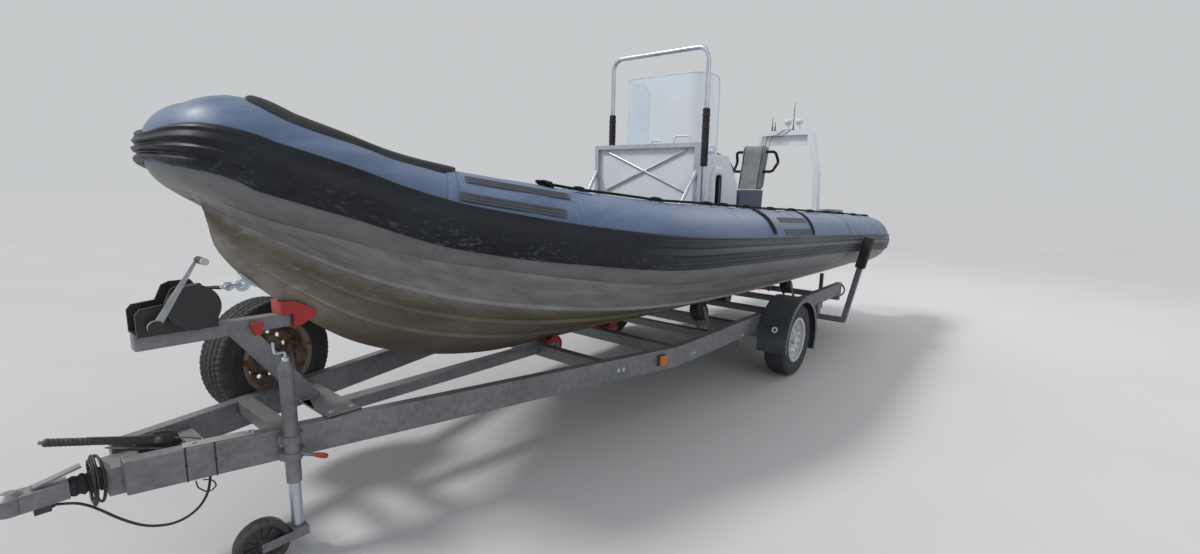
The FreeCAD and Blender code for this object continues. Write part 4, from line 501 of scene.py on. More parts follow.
def carry(node, material, bevel=0, segments=2):
    """A CAD node as it is, with its own finish and softened edges."""
    obj = NODES[node]
    dress(obj, material)
    if "custom_normal" in obj.data.attributes:
        obj.data.attributes.remove(obj.data.attributes["custom_normal"])
    if bevel:
        weld = obj.modifiers.new("weld", "WELD")
        weld.merge_threshold = 0.00002
        soften(obj, bevel, segments)
    obj.data.shade_smooth()
    obj.data.set_sharp_from_angle(angle=EDGE_ANGLE)


def grid(rows, closed=False, caps=False):
    """Faces between rows of as many points; closed joins each row's end to its start."""
    count = len(rows[0])
    verts = [tuple(point) for row in rows for point in row]
    faces = []
    for i in range(len(rows) - 1):
        for k in range(count if closed else count - 1):
            a, b = i * count + k, i * count + (k + 1) % count
            faces.append((a, b, b + count, a + count))
    if caps:
        faces.append(tuple(range(count)))
        faces.append(tuple(range(len(verts) - count, len(verts))))
    return verts, faces


def loft(rows):
    return grid(rows, closed=True, caps=True)


def turns(count):
    """The angles of as many points once round."""
    return [2 * math.pi * k / count for k in range(count)]


def loop_turns(count):
    """The same, with the last point on the first."""
    return np.linspace(0, 2 * math.pi, count)


def around(centre, u, v, radius, angles):
    """Points on a circle in the plane of u and v."""
    return [centre + (u * math.cos(a) + v * math.sin(a)) * radius for a in angles]


def square_to(axis):
    """A level direction at right angles to an axis."""
    return (UP if abs(axis.z) < 0.9 else AHEAD).cross(axis).normalized()


def frames(path):
    """Directions across and over at each point of a path, without twist."""
    points = [Vector(p) for p in path]
    runs = [(b - a).normalized() for a, b in zip(points, points[1:])]
    along = [runs[0]] + [(a + b).normalized() for a, b in zip(runs, runs[1:])] + [runs[-1]]
    across = square_to(along[0])
    rows = []
    for point, forward in zip(points, along):
        across = (across - forward * across.dot(forward)).normalized()
        rows.append((point, across, forward.cross(across)))
    return rows


def tube(path, radius, sides=14):
    """A round tube; radius is a number or one for each point of the path."""
    sizes = radius if isinstance(radius, list) else [radius] * len(path)
    return loft([around(point, across, over, size, turns(sides))
                 for (point, across, over), size in zip(frames(path), sizes)])


def flat_run(path, half_across, low, high):
    """A flat strap swept along a path, from low to high over it."""
    outline = [(-half_across, low), (half_across, low), (half_across, high),
               (-half_across, high)]
    return loft([[point + across * a + over * b for a, b in outline]
                 for point, across, over in frames(path)])


def rounded(corners, bend, arc_steps=7):
    """The corner points of a route with a tangent arc in place of each inner corner."""
    points = [Vector(c) for c in corners]
    route = [points[0]]
    for before, corner, after in zip(points, points[1:], points[2:]):
        into, out = (corner - before).normalized(), (after - corner).normalized()
        turn = into.angle(out)
        if turn < 0.02:
            route.append(corner)
            continue
        reach = min(bend * math.tan(turn / 2), 0.48 * (corner - before).length,
                    0.48 * (after - corner).length)
        start, end = corner - into * reach, corner + out * reach
        for k in range(arc_steps + 1):
            s = k / arc_steps
            route.append(start * (1 - s) ** 2 + corner * (2 * s * (1 - s)) + end * s ** 2)
    return route + [points[-1]]


def divided(path, step):
    """A path with more points on its runs, without the last."""
    points = []
    for a, b in zip(path, path[1:]):
        count = max(1, int((b - a).length / step))
        points += [a + (b - a) * (k / count) for k in range(count)]
    return points


def lathe(outline, centre, axis, count=64, wobble=None, hollow=False):
    """A turned form: (radius, height) pairs about an axis; wobble changes the radius.

    A hollow one has its outline closed and stays open in the middle.
    """
    axis, centre = Vector(axis).normalized(), Vector(centre)
    if hollow:
        outline = outline + [outline[0]]
    u = square_to(axis)
    v = axis.cross(u)
    rows = [[centre + axis * height + (u * math.cos(a) + v * math.sin(a))
             * (radius + (wobble(radius, height, a) if wobble else 0)) for a in turns(count)]
            for radius, height in outline]
    return grid(rows, closed=True, caps=not hollow)


def coil(centre, axis, radius, count, spread, thick):
    """Loose turns of cable round an axis."""
    axis = Vector(axis).normalized()
    u = square_to(axis)
    v = axis.cross(u)
    path = []
    for k in range(count * 30 + 1):
        a = 2 * math.pi * k / 30
        reach = radius * (1 + 0.07 * math.sin(a * 0.43 + 1) + 0.03 * math.sin(a * 1.31))
        aside = spread * (0.5 * math.sin(a * 0.29) + 0.25 * math.sin(a * 0.77 + 2))
        path += around(Vector(centre) + axis * aside, u, v, reach, [a])
    return tube(path, thick, 10)


def hex_heads(feet, out, radius=0.0095, rise=0.0065):
    """Hexagon bolt heads on washers."""
    heads = []
    for foot in feet:
        heads.append(lathe([(0, 0), (radius * 1.45, 0), (radius * 1.45, 0.0018),
                            (0, 0.0018)], foot, out, 20))
        heads.append(lathe([(0, 0.0016), (radius, 0.0016), (radius, rise),
                            (radius * 0.8, rise + 0.0012), (0, rise + 0.0012)],
                           foot, out, 6))
    return heads


def block(size, centre, turn=Matrix.Identity(3)):
    """A square block; turn is a rotation matrix about its centre."""
    verts = [tuple(turn @ (Vector((x * size[0], y * size[1], z * size[2])) / 2)
                   + Vector(centre)) for x in (-1, 1) for y in (-1, 1) for z in (-1, 1)]
    return verts, [(0, 1, 3, 2), (4, 6, 7, 5), (0, 4, 5, 1), (2, 3, 7, 6), (0, 2, 6, 4),
                   (1, 5, 7, 3)]


def slab(outline, offset):
    """A flat outline of points and its copy at an offset, joined round the edge."""
    return loft([outline, [p + Vector(offset) for p in outline]])


# ---------------------------------------------------------------- the boat's form
# Stations in mm from stern to nose: collar centre x, y, z and radius; keel x, z; chine
# x, y, z; the angles where side and deck meet the collar; and the deck's middle
NAMES = ["x", "y", "z", "r", "keel_x", "keel_z", "chine_x", "chine_y", "chine_z", "side",
         "deck", "deck_x"]
CONES = [(-2870, 890, 1022, 115), (-2760, 897, 1026, 190), (-2560, 911, 1032, 245)]
TABLE = [
    (-2300, 930, 1042, 261, -2300, 470, -2300, 806, 742, -72, -152, -2300),
    (-1750, 941, 1074, 260, -1750, 474, -1750, 807, 748, -67, -144, -1750),
    (-1200, 950, 1104, 259, -1200, 478, -1200, 808, 754, -62, -137, -1200),
    (-700, 951, 1130, 258, -700, 482, -700, 807, 761, -60, -132, -700),
    (-200, 952, 1154, 257, -200, 485, -200, 806, 768, -58, -127, -200),
    (800, 962, 1200, 255, 800, 497, 800, 800, 792, -58, -121, 800),
    (1500, 957, 1238, 254, 1500, 512, 1500, 780, 826, -58, -117, 1500),
    (2050, 893, 1271, 252, 2050, 525, 2050, 716, 872, -58, -113, 2050),
    (2560, 741, 1335, 242, 2560, 552, 2560, 596, 940, -58, -110, 2560),
    (2900, 604, 1393, 232, 2900, 614, 2900, 480, 1004, -60, -108, 2880),
    (3200, 489, 1452, 222, 3200, 706, 3200, 366, 1086, -63, -106, 3170),
    (3450, 406, 1519, 214, 3450, 829, 3450, 268, 1180, -66, -105, 3410),
    (3650, 343, 1594, 213, 3650, 982, 3650, 186, 1280, -70, -105, 3590),
    (3800, 272, 1655, 212, 3793, 1114, 3800, 118, 1368, -74, -105, 3710),
    (3908, 196, 1712, 210, 3899, 1224, 3904, 64, 1434, -78, -105, 3800),
    (3962, 100, 1716, 192, 3961, 1330, 3966, 26, 1484, -80, -105, 3850),
    (3994, 0, 1712, 165, 3977, 1440, 3996, 0, 1508, -82, -105, 3878),
]
STATIONS = np.array([row + TABLE[0][4:] for row in CONES] + TABLE, float)
STATIONS /= [1 if column in ("side", "deck") else 1000 for column in NAMES]
mirror = [-1 if column in ("y", "chine_y") else 1 for column in NAMES]
STATIONS = np.vstack([STATIONS, STATIONS[-2::-1] * mirror])
STEPS = np.linalg.norm(np.diff(STATIONS[:, :3], axis=0), axis=1)
PLACES = np.concatenate([[0], np.cumsum(STEPS)])
LENGTH = PLACES[-1]
rates = np.diff(STATIONS, axis=0) / STEPS[:, None]
SLOPES = np.vstack([rates[0], (rates[:-1] * STEPS[1:, None] + rates[1:] * STEPS[:-1, None])
                    / (STEPS[:-1] + STEPS[1:])[:, None], rates[-1]])


class Row:
    """The boat's section at a place along the collar, from the port stern cone on."""

    def __init__(self, place):
        i = int(np.clip(np.searchsorted(PLACES, place) - 1, 0, len(STEPS) - 1))
        h = STEPS[i]
        t = (place - PLACES[i]) / h
        a, b = STATIONS[i], STATIONS[i + 1]
        ma, mb = SLOPES[i] * h, SLOPES[i + 1] * h
        at = ((2 * t ** 3 - 3 * t ** 2 + 1) * a + (t ** 3 - 2 * t ** 2 + t) * ma
              + (-2 * t ** 3 + 3 * t ** 2) * b + (t ** 3 - t ** 2) * mb)
        rate = ((6 * t * t - 6 * t) * a + (3 * t * t - 4 * t + 1) * ma
                + (-6 * t * t + 6 * t) * b + (3 * t * t - 2 * t) * mb)
        for name, value in zip(NAMES, at):
            setattr(self, name, float(value))
        self.centre = Vector(at[:3])
        self.along = Vector(rate[:3]).normalized()
        self.outward = UP.cross(self.along).normalized()
        self.upward = self.along.cross(self.outward).normalized()

    def round(self, angle, rise=0):
        """A point over the collar's face; 0 degrees is outward and 90 is up."""
        return around(self.centre, self.outward, self.upward, self.r + rise,
                      [math.radians(angle)])[0]


def place_of(x):
    """The place along the port side where the collar's centre is at x."""
    low, high = 0, LENGTH / 2
    for _ in range(40):
        middle = (low + high) / 2
        if Row(middle).x < x:
            low = middle
        else:
            high = middle
    return low


def spaced(start, end, step):
    return np.linspace(start, end, max(2, int(round((end - start) / step)) + 1))


def both(place):
    """A place on the port side and its mirror on the starboard side."""
    return place, LENGTH - place


def spans(low, high):
    """The run between two x on the port side, and its mirror."""
    start, end = place_of(low), place_of(high)
    return (start, end), (LENGTH - end, LENGTH - start)


def quarter_round(share):
    return math.sqrt(max(0, 1 - (1 - share) ** 2))


def strip(start, end, angles, rises, step=0.03):
    """A pad glued to the collar: rises over its face at each of the angles."""
    lift, taper = 0.0004, 0.012
    rows = []
    for place in spaced(start, end, step):
        row = Row(place)
        edge = quarter_round(min(1, (place - start) / taper, (end - place) / taper))
        rows.append([row.round(a, lift + rise * edge) for a, rise in zip(angles, rises)]
                    + [row.round(a, lift * 0.5) for a in reversed(angles)])
    return loft(rows)


# Collar: three chambers of coated fabric, with the stern cones
def collar(start, end, cone):
    """One chamber; cone is 1 where its start closes in a dome, and -1 for its end."""
    angles = [360 * k / 96 for k in range(96)]
    rows = []
    for place in spaced(start, end, 0.035):
        row = Row(place)
        swell = 0.0016 * math.sin(place * 9) + 0.001 * math.sin(place * 23 + 1)
        rows.append([row.round(a, swell * (0.4 + 0.6 * math.cos(math.radians(a - 40))))
                     for a in angles])
    if cone:
        row = Row(start if cone > 0 else end)
        dome = []
        for share in (0.95, 0.8, 0.55, 0.25):
            centre = row.centre - row.along * (cone * 0.028 * math.sqrt(1 - share ** 2))
            dome.append([centre + (row.round(a) - row.centre) * share for a in angles])
        rows = dome[::-1] + rows if cone > 0 else rows + dome
    return loft(rows)


BOW_START = place_of(3.2)
for name, start, end, cone in (("port", 0, BOW_START, 1),
                               ("starboard", LENGTH - BOW_START, LENGTH, -1),
                               ("bow", BOW_START, LENGTH - BOW_START, 0)):
    make("collar_%s_skin" % name, [collar(start, end, cone)], "collar_fabric", sharp=60,
         replaces="collar_" + name)

# Seam tapes round the collar where its chambers and cones join
tapes = []
for x in (3.205, 2.625, 1.45, 0.35, -0.9, -2.3, -2.52):
    for place in both(place_of(x)):
        rows = []
        for aside, rise in ((-0.022, 0.0004), (-0.02024, 0.0018), (0.02024, 0.0018),
                            (0.022, 0.0004)):
            row = Row(place + aside)
            rows.append([row.round(a, rise) for a in range(-55, 236, 5)])
        tapes.append(grid(rows))
make("seam_tapes", tapes, "collar_fabric")

# Rub band: a smooth fold at the bow that turns into ribs further aft. BAND has its lower and
# upper angle at each x; RIBS and FOLDS have its rise at each share of its width
BAND = [(-2.9, -22, 16.5), (0.8, -22, 16.5), (1.5, -24, 16.5), (2.05, -28, 17),
        (2.56, -29, 17.5), (2.9, -33, 18.5), (3.2, -33, 20), (3.45, -28, 24),
        (3.65, -28, 25.5), (3.8, -27, 26), (3.908, -22, 25), (3.962, -18, 22),
        (3.994, -15, 21)]
RIBS = [(0, 0.2), (0.015, 0.75), (0.05, 0.95), (0.1, 0.95), (0.13, 0.55), (0.17, 0.5),
        (0.2, 0.9), (0.25, 0.9), (0.28, 0.5), (0.33, 0.5), (0.36, 0.98), (0.41, 1.05),
        (0.44, 0.62), (0.49, 0.6), (0.52, 1), (0.58, 1.05), (0.62, 1), (0.65, 0.6),
        (0.69, 0.56), (0.72, 0.9), (0.77, 0.92), (0.8, 0.55), (0.84, 0.5), (0.87, 0.75),
        (0.92, 0.72), (0.96, 0.6), (0.985, 0.4), (1, 0.12)]
FOLDS = [(0, 0), (0.02, 1), (0.13, 1.5), (0.22, 1), (0.27, 0.3), (0.32, 0.25),
         (0.38, 1.1), (0.47, 1.4), (0.52, 0.7), (0.57, 0.6), (0.65, 1.3), (0.74, 0.9),
         (0.8, 0.7), (0.87, 1), (0.95, 0.6), (1, 0)]
BAND_SHARES = [k / 56 for k in range(57)]


def read(table, x, column=1):
    return float(np.interp(x, [row[0] for row in table], [row[column] for row in table]))


def band():
    rows, aft = [], []
    for place in spaced(*both(place_of(-2.76)), 0.03):
        row = Row(place)
        low, high = read(BAND, row.x), read(BAND, row.x, 2)
        ribbed = float(np.clip((2.35 - row.x) / 0.9, 0, 1))
        creased = float(np.clip(1 - abs(place - LENGTH / 2) / 0.34, 0, 1)) ** 0.7
        points = []
        for share in BAND_SHARES:
            plain = 0.01 + 0.013 * math.sin(math.pi * share) ** 0.5
            rise = plain * (1 - ribbed) + 0.017 * read(RIBS, share) * ribbed
            rise = rise * (1 - creased) + 0.022 * read(FOLDS, share) * creased
            rise += 0.0012 * noise.noise(Vector((place * 6, share * 3, 1))) * (1 - ribbed)
            rise *= min(1, share / 0.02 + 0.1, (1 - share) / 0.02 + 0.1)
            points.append(row.round(low + (high - low) * share, max(rise, 0.0015)))
        rows.append(points)
        aft += [ribbed] * len(points)
    return mesh_object("rub_band", *grid(rows), 80, across=BAND_SHARES * len(rows), ribbed=aft)


finished(band(), "band_rubber", "rub_strake")


# Anti-slip pads on the bow's top, with rounded ends
def bow_pad(start, end):
    middle, half, steps = 87.5, 27.5, 9
    reach = math.radians(half) * 0.22
    rows = []
    for place in spaced(start, end, 0.012):
        row = Row(place)
        width = max(0.02, quarter_round(min(1, (place - start) / reach,
                                            (end - place) / reach)))
        top, under = [], []
        for k in range(steps + 1):
            angle = middle + half * width * (2 * k / steps - 1)
            edge = min(1, k / 0.6, (steps - k) / 0.6)
            top.append(row.round(angle, 0.0006 + 0.014 * edge * min(1, width * 2)))
            under.append(row.round(angle, 0.0003))
        rows.append(top + under[::-1])
    return loft(rows)


make("bow_pads", [bow_pad(*run) for run in spans(3.165, 3.905)], "grip_pad", sharp=60,
     replaces="bow_pad")


# Ribbed strips on each side: two at the bow and two on the boarding patch by the helm
def ribbed_strip(run, low, high):
    rises = [0.0012] + [0.007 if k % 4 else 0.00315 for k in range(1, 12)] + [0.0012]
    return strip(*run, np.linspace(low, high, 13), rises, step=0.02)


make("bow_grips", [ribbed_strip(run, low, high)
                   for low, high, x0, x1 in ((22.5, 34.5, 2.69, 3.175), (50, 63, 2.655, 3.145))
                   for run in spans(x0, x1)], "wear_pad", sharp=50, replaces="wear_patches")
make("boarding_strips", [ribbed_strip(run, low, high) for low, high in ((18.5, 28.5), (41, 52))
                         for run in spans(0.2, 0.79)], "wear_pad", sharp=50)
make("boarding_patches", [strip(*run, np.linspace(17.5, 53, 9), [0.0016] * 9)
                          for run in spans(0.15, 0.84)], "collar_fabric", sharp=60)


# Lifeline: a twisted rope along the collar's top, lashed down at glued patches
def rope(path, radius):
    """Three strands laid round each other along a path."""
    lay, step = 0.055, 0.006
    runs = [(b - a).length for a, b in zip(path, path[1:])]
    lengths = np.concatenate([[0], np.cumsum(runs)])
    where = np.arange(0, lengths[-1], step)
    flat = np.array([tuple(p) for p in path])
    fine = [[np.interp(s, lengths, flat[:, k]) for k in range(3)] for s in where]
    rows = []
    for s, (point, across, over) in zip(where, frames(fine)):
        row = []
        for angle in turns(18):
            size = 0.9 + 0.16 * abs(math.cos(1.5 * (angle - 2 * math.pi * s / lay)))
            row += around(point, across, over, radius * size, [angle])
        rows.append(row)
    return loft(rows)


ANCHORS = [2.56, 2.05, 1.55, 1.35, 0.99, 0.55, 0.1, -0.35, -0.8, -1.25, -1.75, -2.25]


def line_path(way):
    """The rope sags a little between its patches, and runs over the collar's top."""
    path = []
    for x in np.arange(2.7, -2.5, -0.04):
        nearest = min(abs(x - a) for a in ANCHORS)
        slip = 4 * math.sin(x * 5 + way) * min(1, nearest / 0.12)
        row = Row(both(place_of(x))[way < 0])
        path.append(row.round(86 + slip, 0.009 + 0.004 * min(1, nearest / 0.15)))
    return path


make("lifeline", [rope(line_path(way), 0.0075) for side, way in SIDES], "webbing", sharp=80,
     replaces="grab_lines")
lashings, patches = [], []
for x in ANCHORS:
    for place in both(place_of(x)):
        row = Row(place)
        loop = [row.round(86 + 8 * math.cos(a), 0.006 + 0.016 * abs(math.sin(a)))
                + row.along * (0.018 * math.sin(2 * a)) for a in loop_turns(24)]
        lashings.append(tube(loop, 0.0045, 10))
        patches.append(strip(place - 0.055, place + 0.055, np.linspace(72, 100, 7),
                             [0.0035] * 7, step=0.01))
for place, (side, way) in zip(both(place_of(2.735)), SIDES):
    row = Row(place)
    for turn in range(6):
        centre = row.round(82 + 2.2 * turn, 0.014) + row.along * (0.012 * (turn % 3 - 1))
        spin = turn * 1.1 + way
        u = (row.along * math.cos(spin) + row.outward * math.sin(spin)).normalized()
        v = (u.cross(row.upward) + row.upward * 0.5).normalized()
        loop = [centre + u * (0.033 * math.cos(a)) + v * (0.02 * math.sin(a))
                for a in loop_turns(20)]
        lashings.append(tube(loop, 0.006, 10))
make("lashings", lashings, "webbing")
make("line_patches", patches, "collar_fabric", sharp=60)

# Two straps come down each side from the lifeline to the boarding patch
straps = []
for x_top, x_low, low in ((0.99, 0.97, 19.5), (0.08, 0.19, 16.9)):
    for near, far in zip(both(place_of(x_top)), both(place_of(x_low))):
        rows = []
        for share in np.linspace(0, 1, 25):
            angle = 88 + (low - 88) * share
            row = Row(near + (far - near) * share)
            rise = 0.0065 + 0.004 * math.sin(math.pi * share)
            edge = row.along * 0.026
            middle, under = row.round(angle, rise), row.round(angle, rise - 0.005)
            rows.append([middle - edge, middle + edge, under + edge, under - edge])
        straps.append(loft(rows))
make("side_straps", straps, "webbing", sharp=60)


# Hull: the same sections as the part's, taken closer together
def hull_row(place):
    """Points from the keel out to the chine and up the side, with their girth shares."""
    row = Row(place)
    keel = Vector((row.keel_x, 0, row.keel_z))
    chine = Vector((row.chine_x, row.chine_y, row.chine_z))
    rail = 0.055
    points, girth = [keel], [0]
    last = 0
    for share in (0.36, 0.66, 1 - rail):
        for k in range(1, 5):
            girth.append(last + (share - last) * k / 4)
            points.append(keel + (chine - keel) * girth[-1])
        outer = keel + (chine - keel) * (share + rail)
        points += [Vector((outer.x, outer.y, points[-1].z)), outer]
        girth += [share + rail * 0.5, share + rail]
        last = share + rail
    side = row.round(row.side, 0.0008)
    for k in range(1, 7):
        points.append(chine + (side - chine) * (k / 6))
        girth.append(1 + 0.3 * k / 6)
    for k in range(1, 9):
        points.append(row.round(row.side + (row.deck - row.side) * k / 8, 0.0008))
    points.append(Vector((row.deck_x, 0, points[-1].z)))
    return points, girth + [1.3] * 9


def hull():
    rows, share = [], []
    for place in spaced(place_of(-2.3), LENGTH / 2, 0.035):
        points, girth = hull_row(place)
        rows.append(points)
        share += girth
    verts, faces = grid(rows)
    count, stern = len(verts), range(len(rows[0]))
    faces += [tuple(k + count for k in reversed(face)) for face in faces]
    faces.append(tuple(stern) + tuple(k + count for k in reversed(stern)))
    verts += [(x, -y, z) for x, y, z in verts]
    return mesh_object("hull_skin", verts, faces, 28, weld=True, girth=share * 2)


finished(hull(), "hull_gelcoat", "hull")
carry("deck", "deck_grey")
carry("transom", "deck_grey", 0.004)
carry("tow_eyes", "rail_steel", 0.0015)


# ---------------------------------------------------------------- console and hoop
carry("console", "console_white", 0.014, 4)


# Raised rim round the console's hatch hole, and its black seal
def ring_about(grow, y):
    """A rounded rectangle round the hatch hole."""
    x0, x1, z0, z1 = 0.262 - grow, 0.398 + grow, 1.25 - grow, 1.722 + grow
    c = max(0.008, 0.045 + grow)
    return [Vector((cx + c * math.cos(a), y, cz + c * math.sin(a)))
            for cx, cz, start in ((x1 - c, z1 - c, 0), (x0 + c, z1 - c, 90),
                                  (x0 + c, z0 + c, 180), (x1 - c, z0 + c, 270))
            for a in np.radians(np.linspace(start, start + 90, 9))]


rim = [ring_about(*step) for step in ((-0.01, 0.3885), (-0.01, 0.408), (-0.004, 0.415),
                                      (0.052, 0.415), (0.06, 0.408), (0.062, 0.4005))]
make("hatch_rim", [grid(rim, closed=True)], "console_white", sharp=50)
seal = ring_about(-0.013, 0.404)
make("hatch_seal", [tube(seal + seal[:1], 0.005, 8)], "foam")
carry("instruments", "dark_plastic", 0.004)
carry("throttle", "dark_plastic", 0.004)
CONSOLE_TOP = 1.8857
HELM_Y = 0.14
PLOTTER_Y = -0.15
dash_run = Vector((210, 0, 245)).normalized()
dash_out = Vector((-dash_run.z, 0, dash_run.x))
dash_turn = Matrix((dash_run, TO_PORT, dash_out)).transposed()


def on_dash(along, y, rise):
    return Vector((-0.06, y, 1.64)) + dash_run * along + dash_out * rise


bezels, dials, hands = [], [], []
for aside, turn in ((-0.1, 0.7), (0, 2.2), (0.1, 1.3)):
    foot = on_dash(0.2, HELM_Y + aside, 0)
    bezels.append(lathe([(0.036, 0.0226), (0.037, 0.025), (0.042, 0.0258), (0.045, 0.0235),
                         (0.045, 0.0225)], foot, dash_out, 40, hollow=True))
    dials.append(lathe([(0, 0.0242), (0.0365, 0.0238), (0.0365, 0.0226)], foot, dash_out, 40))
    marks = [(-2.2 + 0.55 * k, 0.027, 0.032, 0.0243, 0.0007) for k in range(9)]
    for angle, start, end, rise, size in [(turn, 0, 0.028, 0.0248, 0.0008)] + marks:
        ray = dash_run * math.cos(angle) + TO_PORT * math.sin(angle)
        hands.append(tube([foot + dash_out * rise + ray * start,
                           foot + dash_out * rise + ray * end], size, 6))
make("gauge_bezels", bezels, "rail_steel")
make("gauge_faces", dials, "dark_glass")
make("gauge_hands", hands, "console_white")
make("plotter_face", [block((0.104, 0.178, 0.002), on_dash(0.208, PLOTTER_Y, 0.0615),
                            dash_turn)], "dark_glass", 0.0008)
make("plotter_buttons", [
    block((0.009, 0.02, 0.004), on_dash(0.139, PLOTTER_Y + 0.034 * k, 0.0622), dash_turn)
    for k in range(-2, 3)], "dark_plastic", 0.0015)
make("switches", [lathe([(0.013, 0.0004), (0.013, 0.004), (0.006, 0.006), (0.004, 0.018),
                         (0, 0.019)], on_dash(0.075, -0.065 - 0.045 * k, 0), dash_out, 20)
                  for k in range(5)], "dark_plastic")


# Clear screen: one bent sheet with rounded upper corners at its rear, and a bound edge
def screen():
    plan = rounded([(0.302, 0.357, 0), (0.548, 0.427, 0), (0.665, 0.31, 0), (0.665, -0.31, 0),
                    (0.548, -0.427, 0), (0.302, -0.357, 0)], 0.13, 8)
    low, high, bend = CONSOLE_TOP, 2.517, 0.07
    rows, edge = [], []
    for point, across, over in frames(divided(plan, 0.03) + [plan[-1]]):
        back = float(np.clip((point.x - plan[0].x) / bend, 0, 1))
        top = high - bend * (1 - quarter_round(back))
        outer = [Vector((point.x, point.y, low + (top - low) * k / 14)) for k in range(15)]
        rows.append(outer + [p + across * 0.0045 for p in reversed(outer)])
        edge.append(outer[-1] + across * 0.00225)
    feet = [Vector((p.x, p.y, low)) for p in (edge[0], edge[-1])]
    return loft(rows), feet[:1] + edge + feet[1:]


sheet_form, sheet_edge = screen()
make("screen_sheet", [sheet_form], "clear_sheet", sharp=50, replaces="windscreen")
make("screen_binding", [tube(sheet_edge, 0.0046, 10)], "sheet_edge")
make("screen_feet", [block(size, (x, y, z)) for y in (0.26, 0, -0.26)
                     for size, x, z in (((0.008, 0.06, 0.05), 0.6725, 1.911),
                                        ((0.045, 0.06, 0.006), 0.691, 1.8887))],
     "rail_steel", 0.002)
make("console_handrails", [
    tube(rounded([(0.714, low, 1.887), (0.714, low + 0.012, top), (0.714, high - 0.012, top),
                  (0.714, high, 1.887)], 0.03), 0.0085)
    for low, high, top in ((0.18, 0.345, 2.015), (-0.05, 0.07, 1.985))], "console_white")

# Handrail behind the screen, on the console's top
rail = rounded([(0.22, 0.3, 1.886), (0.22, 0.3, 1.965), (0.22, -0.3, 1.965),
                (0.22, -0.3, 1.886)], 0.05)
make("console_rail", [tube(rail, 0.0115, 16)] + [
    lathe([(0, 0), (0.026, 0), (0.026, 0.004), (0.013, 0.008), (0, 0.008)],
          (0.22, way * 0.3, CONSOLE_TOP), UP, 28) for side, way in SIDES], "rail_steel")

# Foam sleeves on the hoop, each held by four ties
carry("roll_hoop", "rail_steel", 0.002)
sleeves, ties = [], []
for side, way in SIDES:
    leg = Vector((0.705, way * 0.47, 0))
    rows = []
    for k in range(40):
        dent = noise.noise(Vector((k * 0.6, way, 0)))
        size = 0.0285 + 0.0012 * math.sin(k * 1.7) + 0.0008 * dent
        if k in (0, 39):
            size -= 0.006
        centre = leg + UP * (1.7705 + 0.451 * k / 39)
        rows.append(around(centre, AHEAD, TO_PORT, size, turns(28)))
    sleeves.append(loft(rows))
    for z in (1.82, 1.94, 2.07, 2.17):
        loop = around(leg + UP * z, AHEAD, TO_PORT, 0.0305, loop_turns(30))
        ties.append(flat_run(loop, 0.001, -0.003, 0.003))
make("foam_sleeves", sleeves, "foam", sharp=60, replaces="hoop_sleeves")
make("sleeve_ties", ties, "dark_plastic")
carry("front_frame", "rail_steel", 0.002)
carry("front_panel", "console_white", 0.0015)


# ---------------------------------------------------------------- helm and seat
def helm():
    centre = on_dash(0.095, HELM_Y, 0.1003)
    angles = loop_turns(73)
    parts = [tube(around(centre, dash_run, TO_PORT, 0.19, angles),
                  [0.0142 - 0.0012 * abs(math.sin(16 * a)) for a in angles], 16)]
    for a in (60, 180, 300):
        reach = dash_run * math.cos(math.radians(a)) + TO_PORT * math.sin(math.radians(a))
        across = reach.cross(dash_out)
        rows = []
        for share in np.linspace(0, 1, 9):
            point = centre + reach * (0.03 + 0.152 * share) + dash_out * (0.006 * (1 - share))
            half = 0.017 - 0.007 * math.sin(math.pi * share)
            rows.append([point + across * half, point + dash_out * 0.004,
                         point - across * half, point - dash_out * 0.004])
        parts.append(loft(rows))
    parts.append(lathe([(0, -0.053), (0.034, -0.053), (0.034, -0.004), (0.046, 0.004),
                        (0.044, 0.012), (0.03, 0.017), (0, 0.019)], centre, dash_out, 48))
    parts.append(tube([centre - dash_out * 0.09, centre - dash_out * 0.05], 0.012, 24))
    return parts


make("helm_rim", helm(), "dark_plastic", body="helm", sharp=50, replaces="helm_wheel")
carry("seat_pedestal", "pedestal_blue", 0.012, 3)
carry("seat_loops", "webbing")

# Seat: a padded back under a loose cover, with creases, piping and a gathered hem
SEAT_FOOT = 1.592
seat_ring = divided(rounded([(-0.69, 0, SEAT_FOOT), (-0.8, 0, 2.044), (-0.935, 0, 2.03),
                             (-0.825, 0, SEAT_FOOT), (-0.69, 0, SEAT_FOOT)], 0.05, 8), 0.018)
seat_middle = sum(seat_ring, Vector()) / len(seat_ring) + Vector((0, 0.2, 0))


def seat_cover():
    half, count = 0.115, 40
    rows = []
    for i in range(count + 1):
        y = -half + 2 * half * i / count
        shrink = 1 - 0.2 * (1 - quarter_round(min(half - abs(y), 0.03) / 0.03))
        row = []
        for p in seat_ring:
            out = Vector((p.x - seat_middle.x, 0, p.z - seat_middle.z))
            point = seat_middle + Vector((out.x * shrink, y,
                                          out.z * (1 - (1 - shrink) * 0.3)))
            height = (point.z - SEAT_FOOT) / 0.45
            pull = noise.noise(Vector((point.x * 9, y * 9, point.z * 9)))
            crease = noise.noise(Vector((point.x * 3 + y * 12, y * 2, point.z * 22)))
            sag = -0.006 * math.sin(math.pi * min(1, max(0, height))) ** 2
            hang = 0.004 * math.sin(y * 60 + point.x * 20) * max(0, 0.3 - height)
            row.append(point + out.normalized() * (0.004 * pull + 0.003 * crease + sag + hang
                                                   - 0.006))
        rows.append(row)
    return loft(rows)


cover = make("seat_cover_cloth", [seat_cover()], "cover_cloth", sharp=70,
             replaces="seat_cover")
piping = []
for y in (-0.098, 0.098):
    piping.append(tube([seat_middle + Vector(((p.x - seat_middle.x) * 0.975, y,
                                              (p.z - seat_middle.z) * 0.975))
                        for p in seat_ring + seat_ring[:1]], 0.003, 8))
make("seat_piping", piping, "webbing")

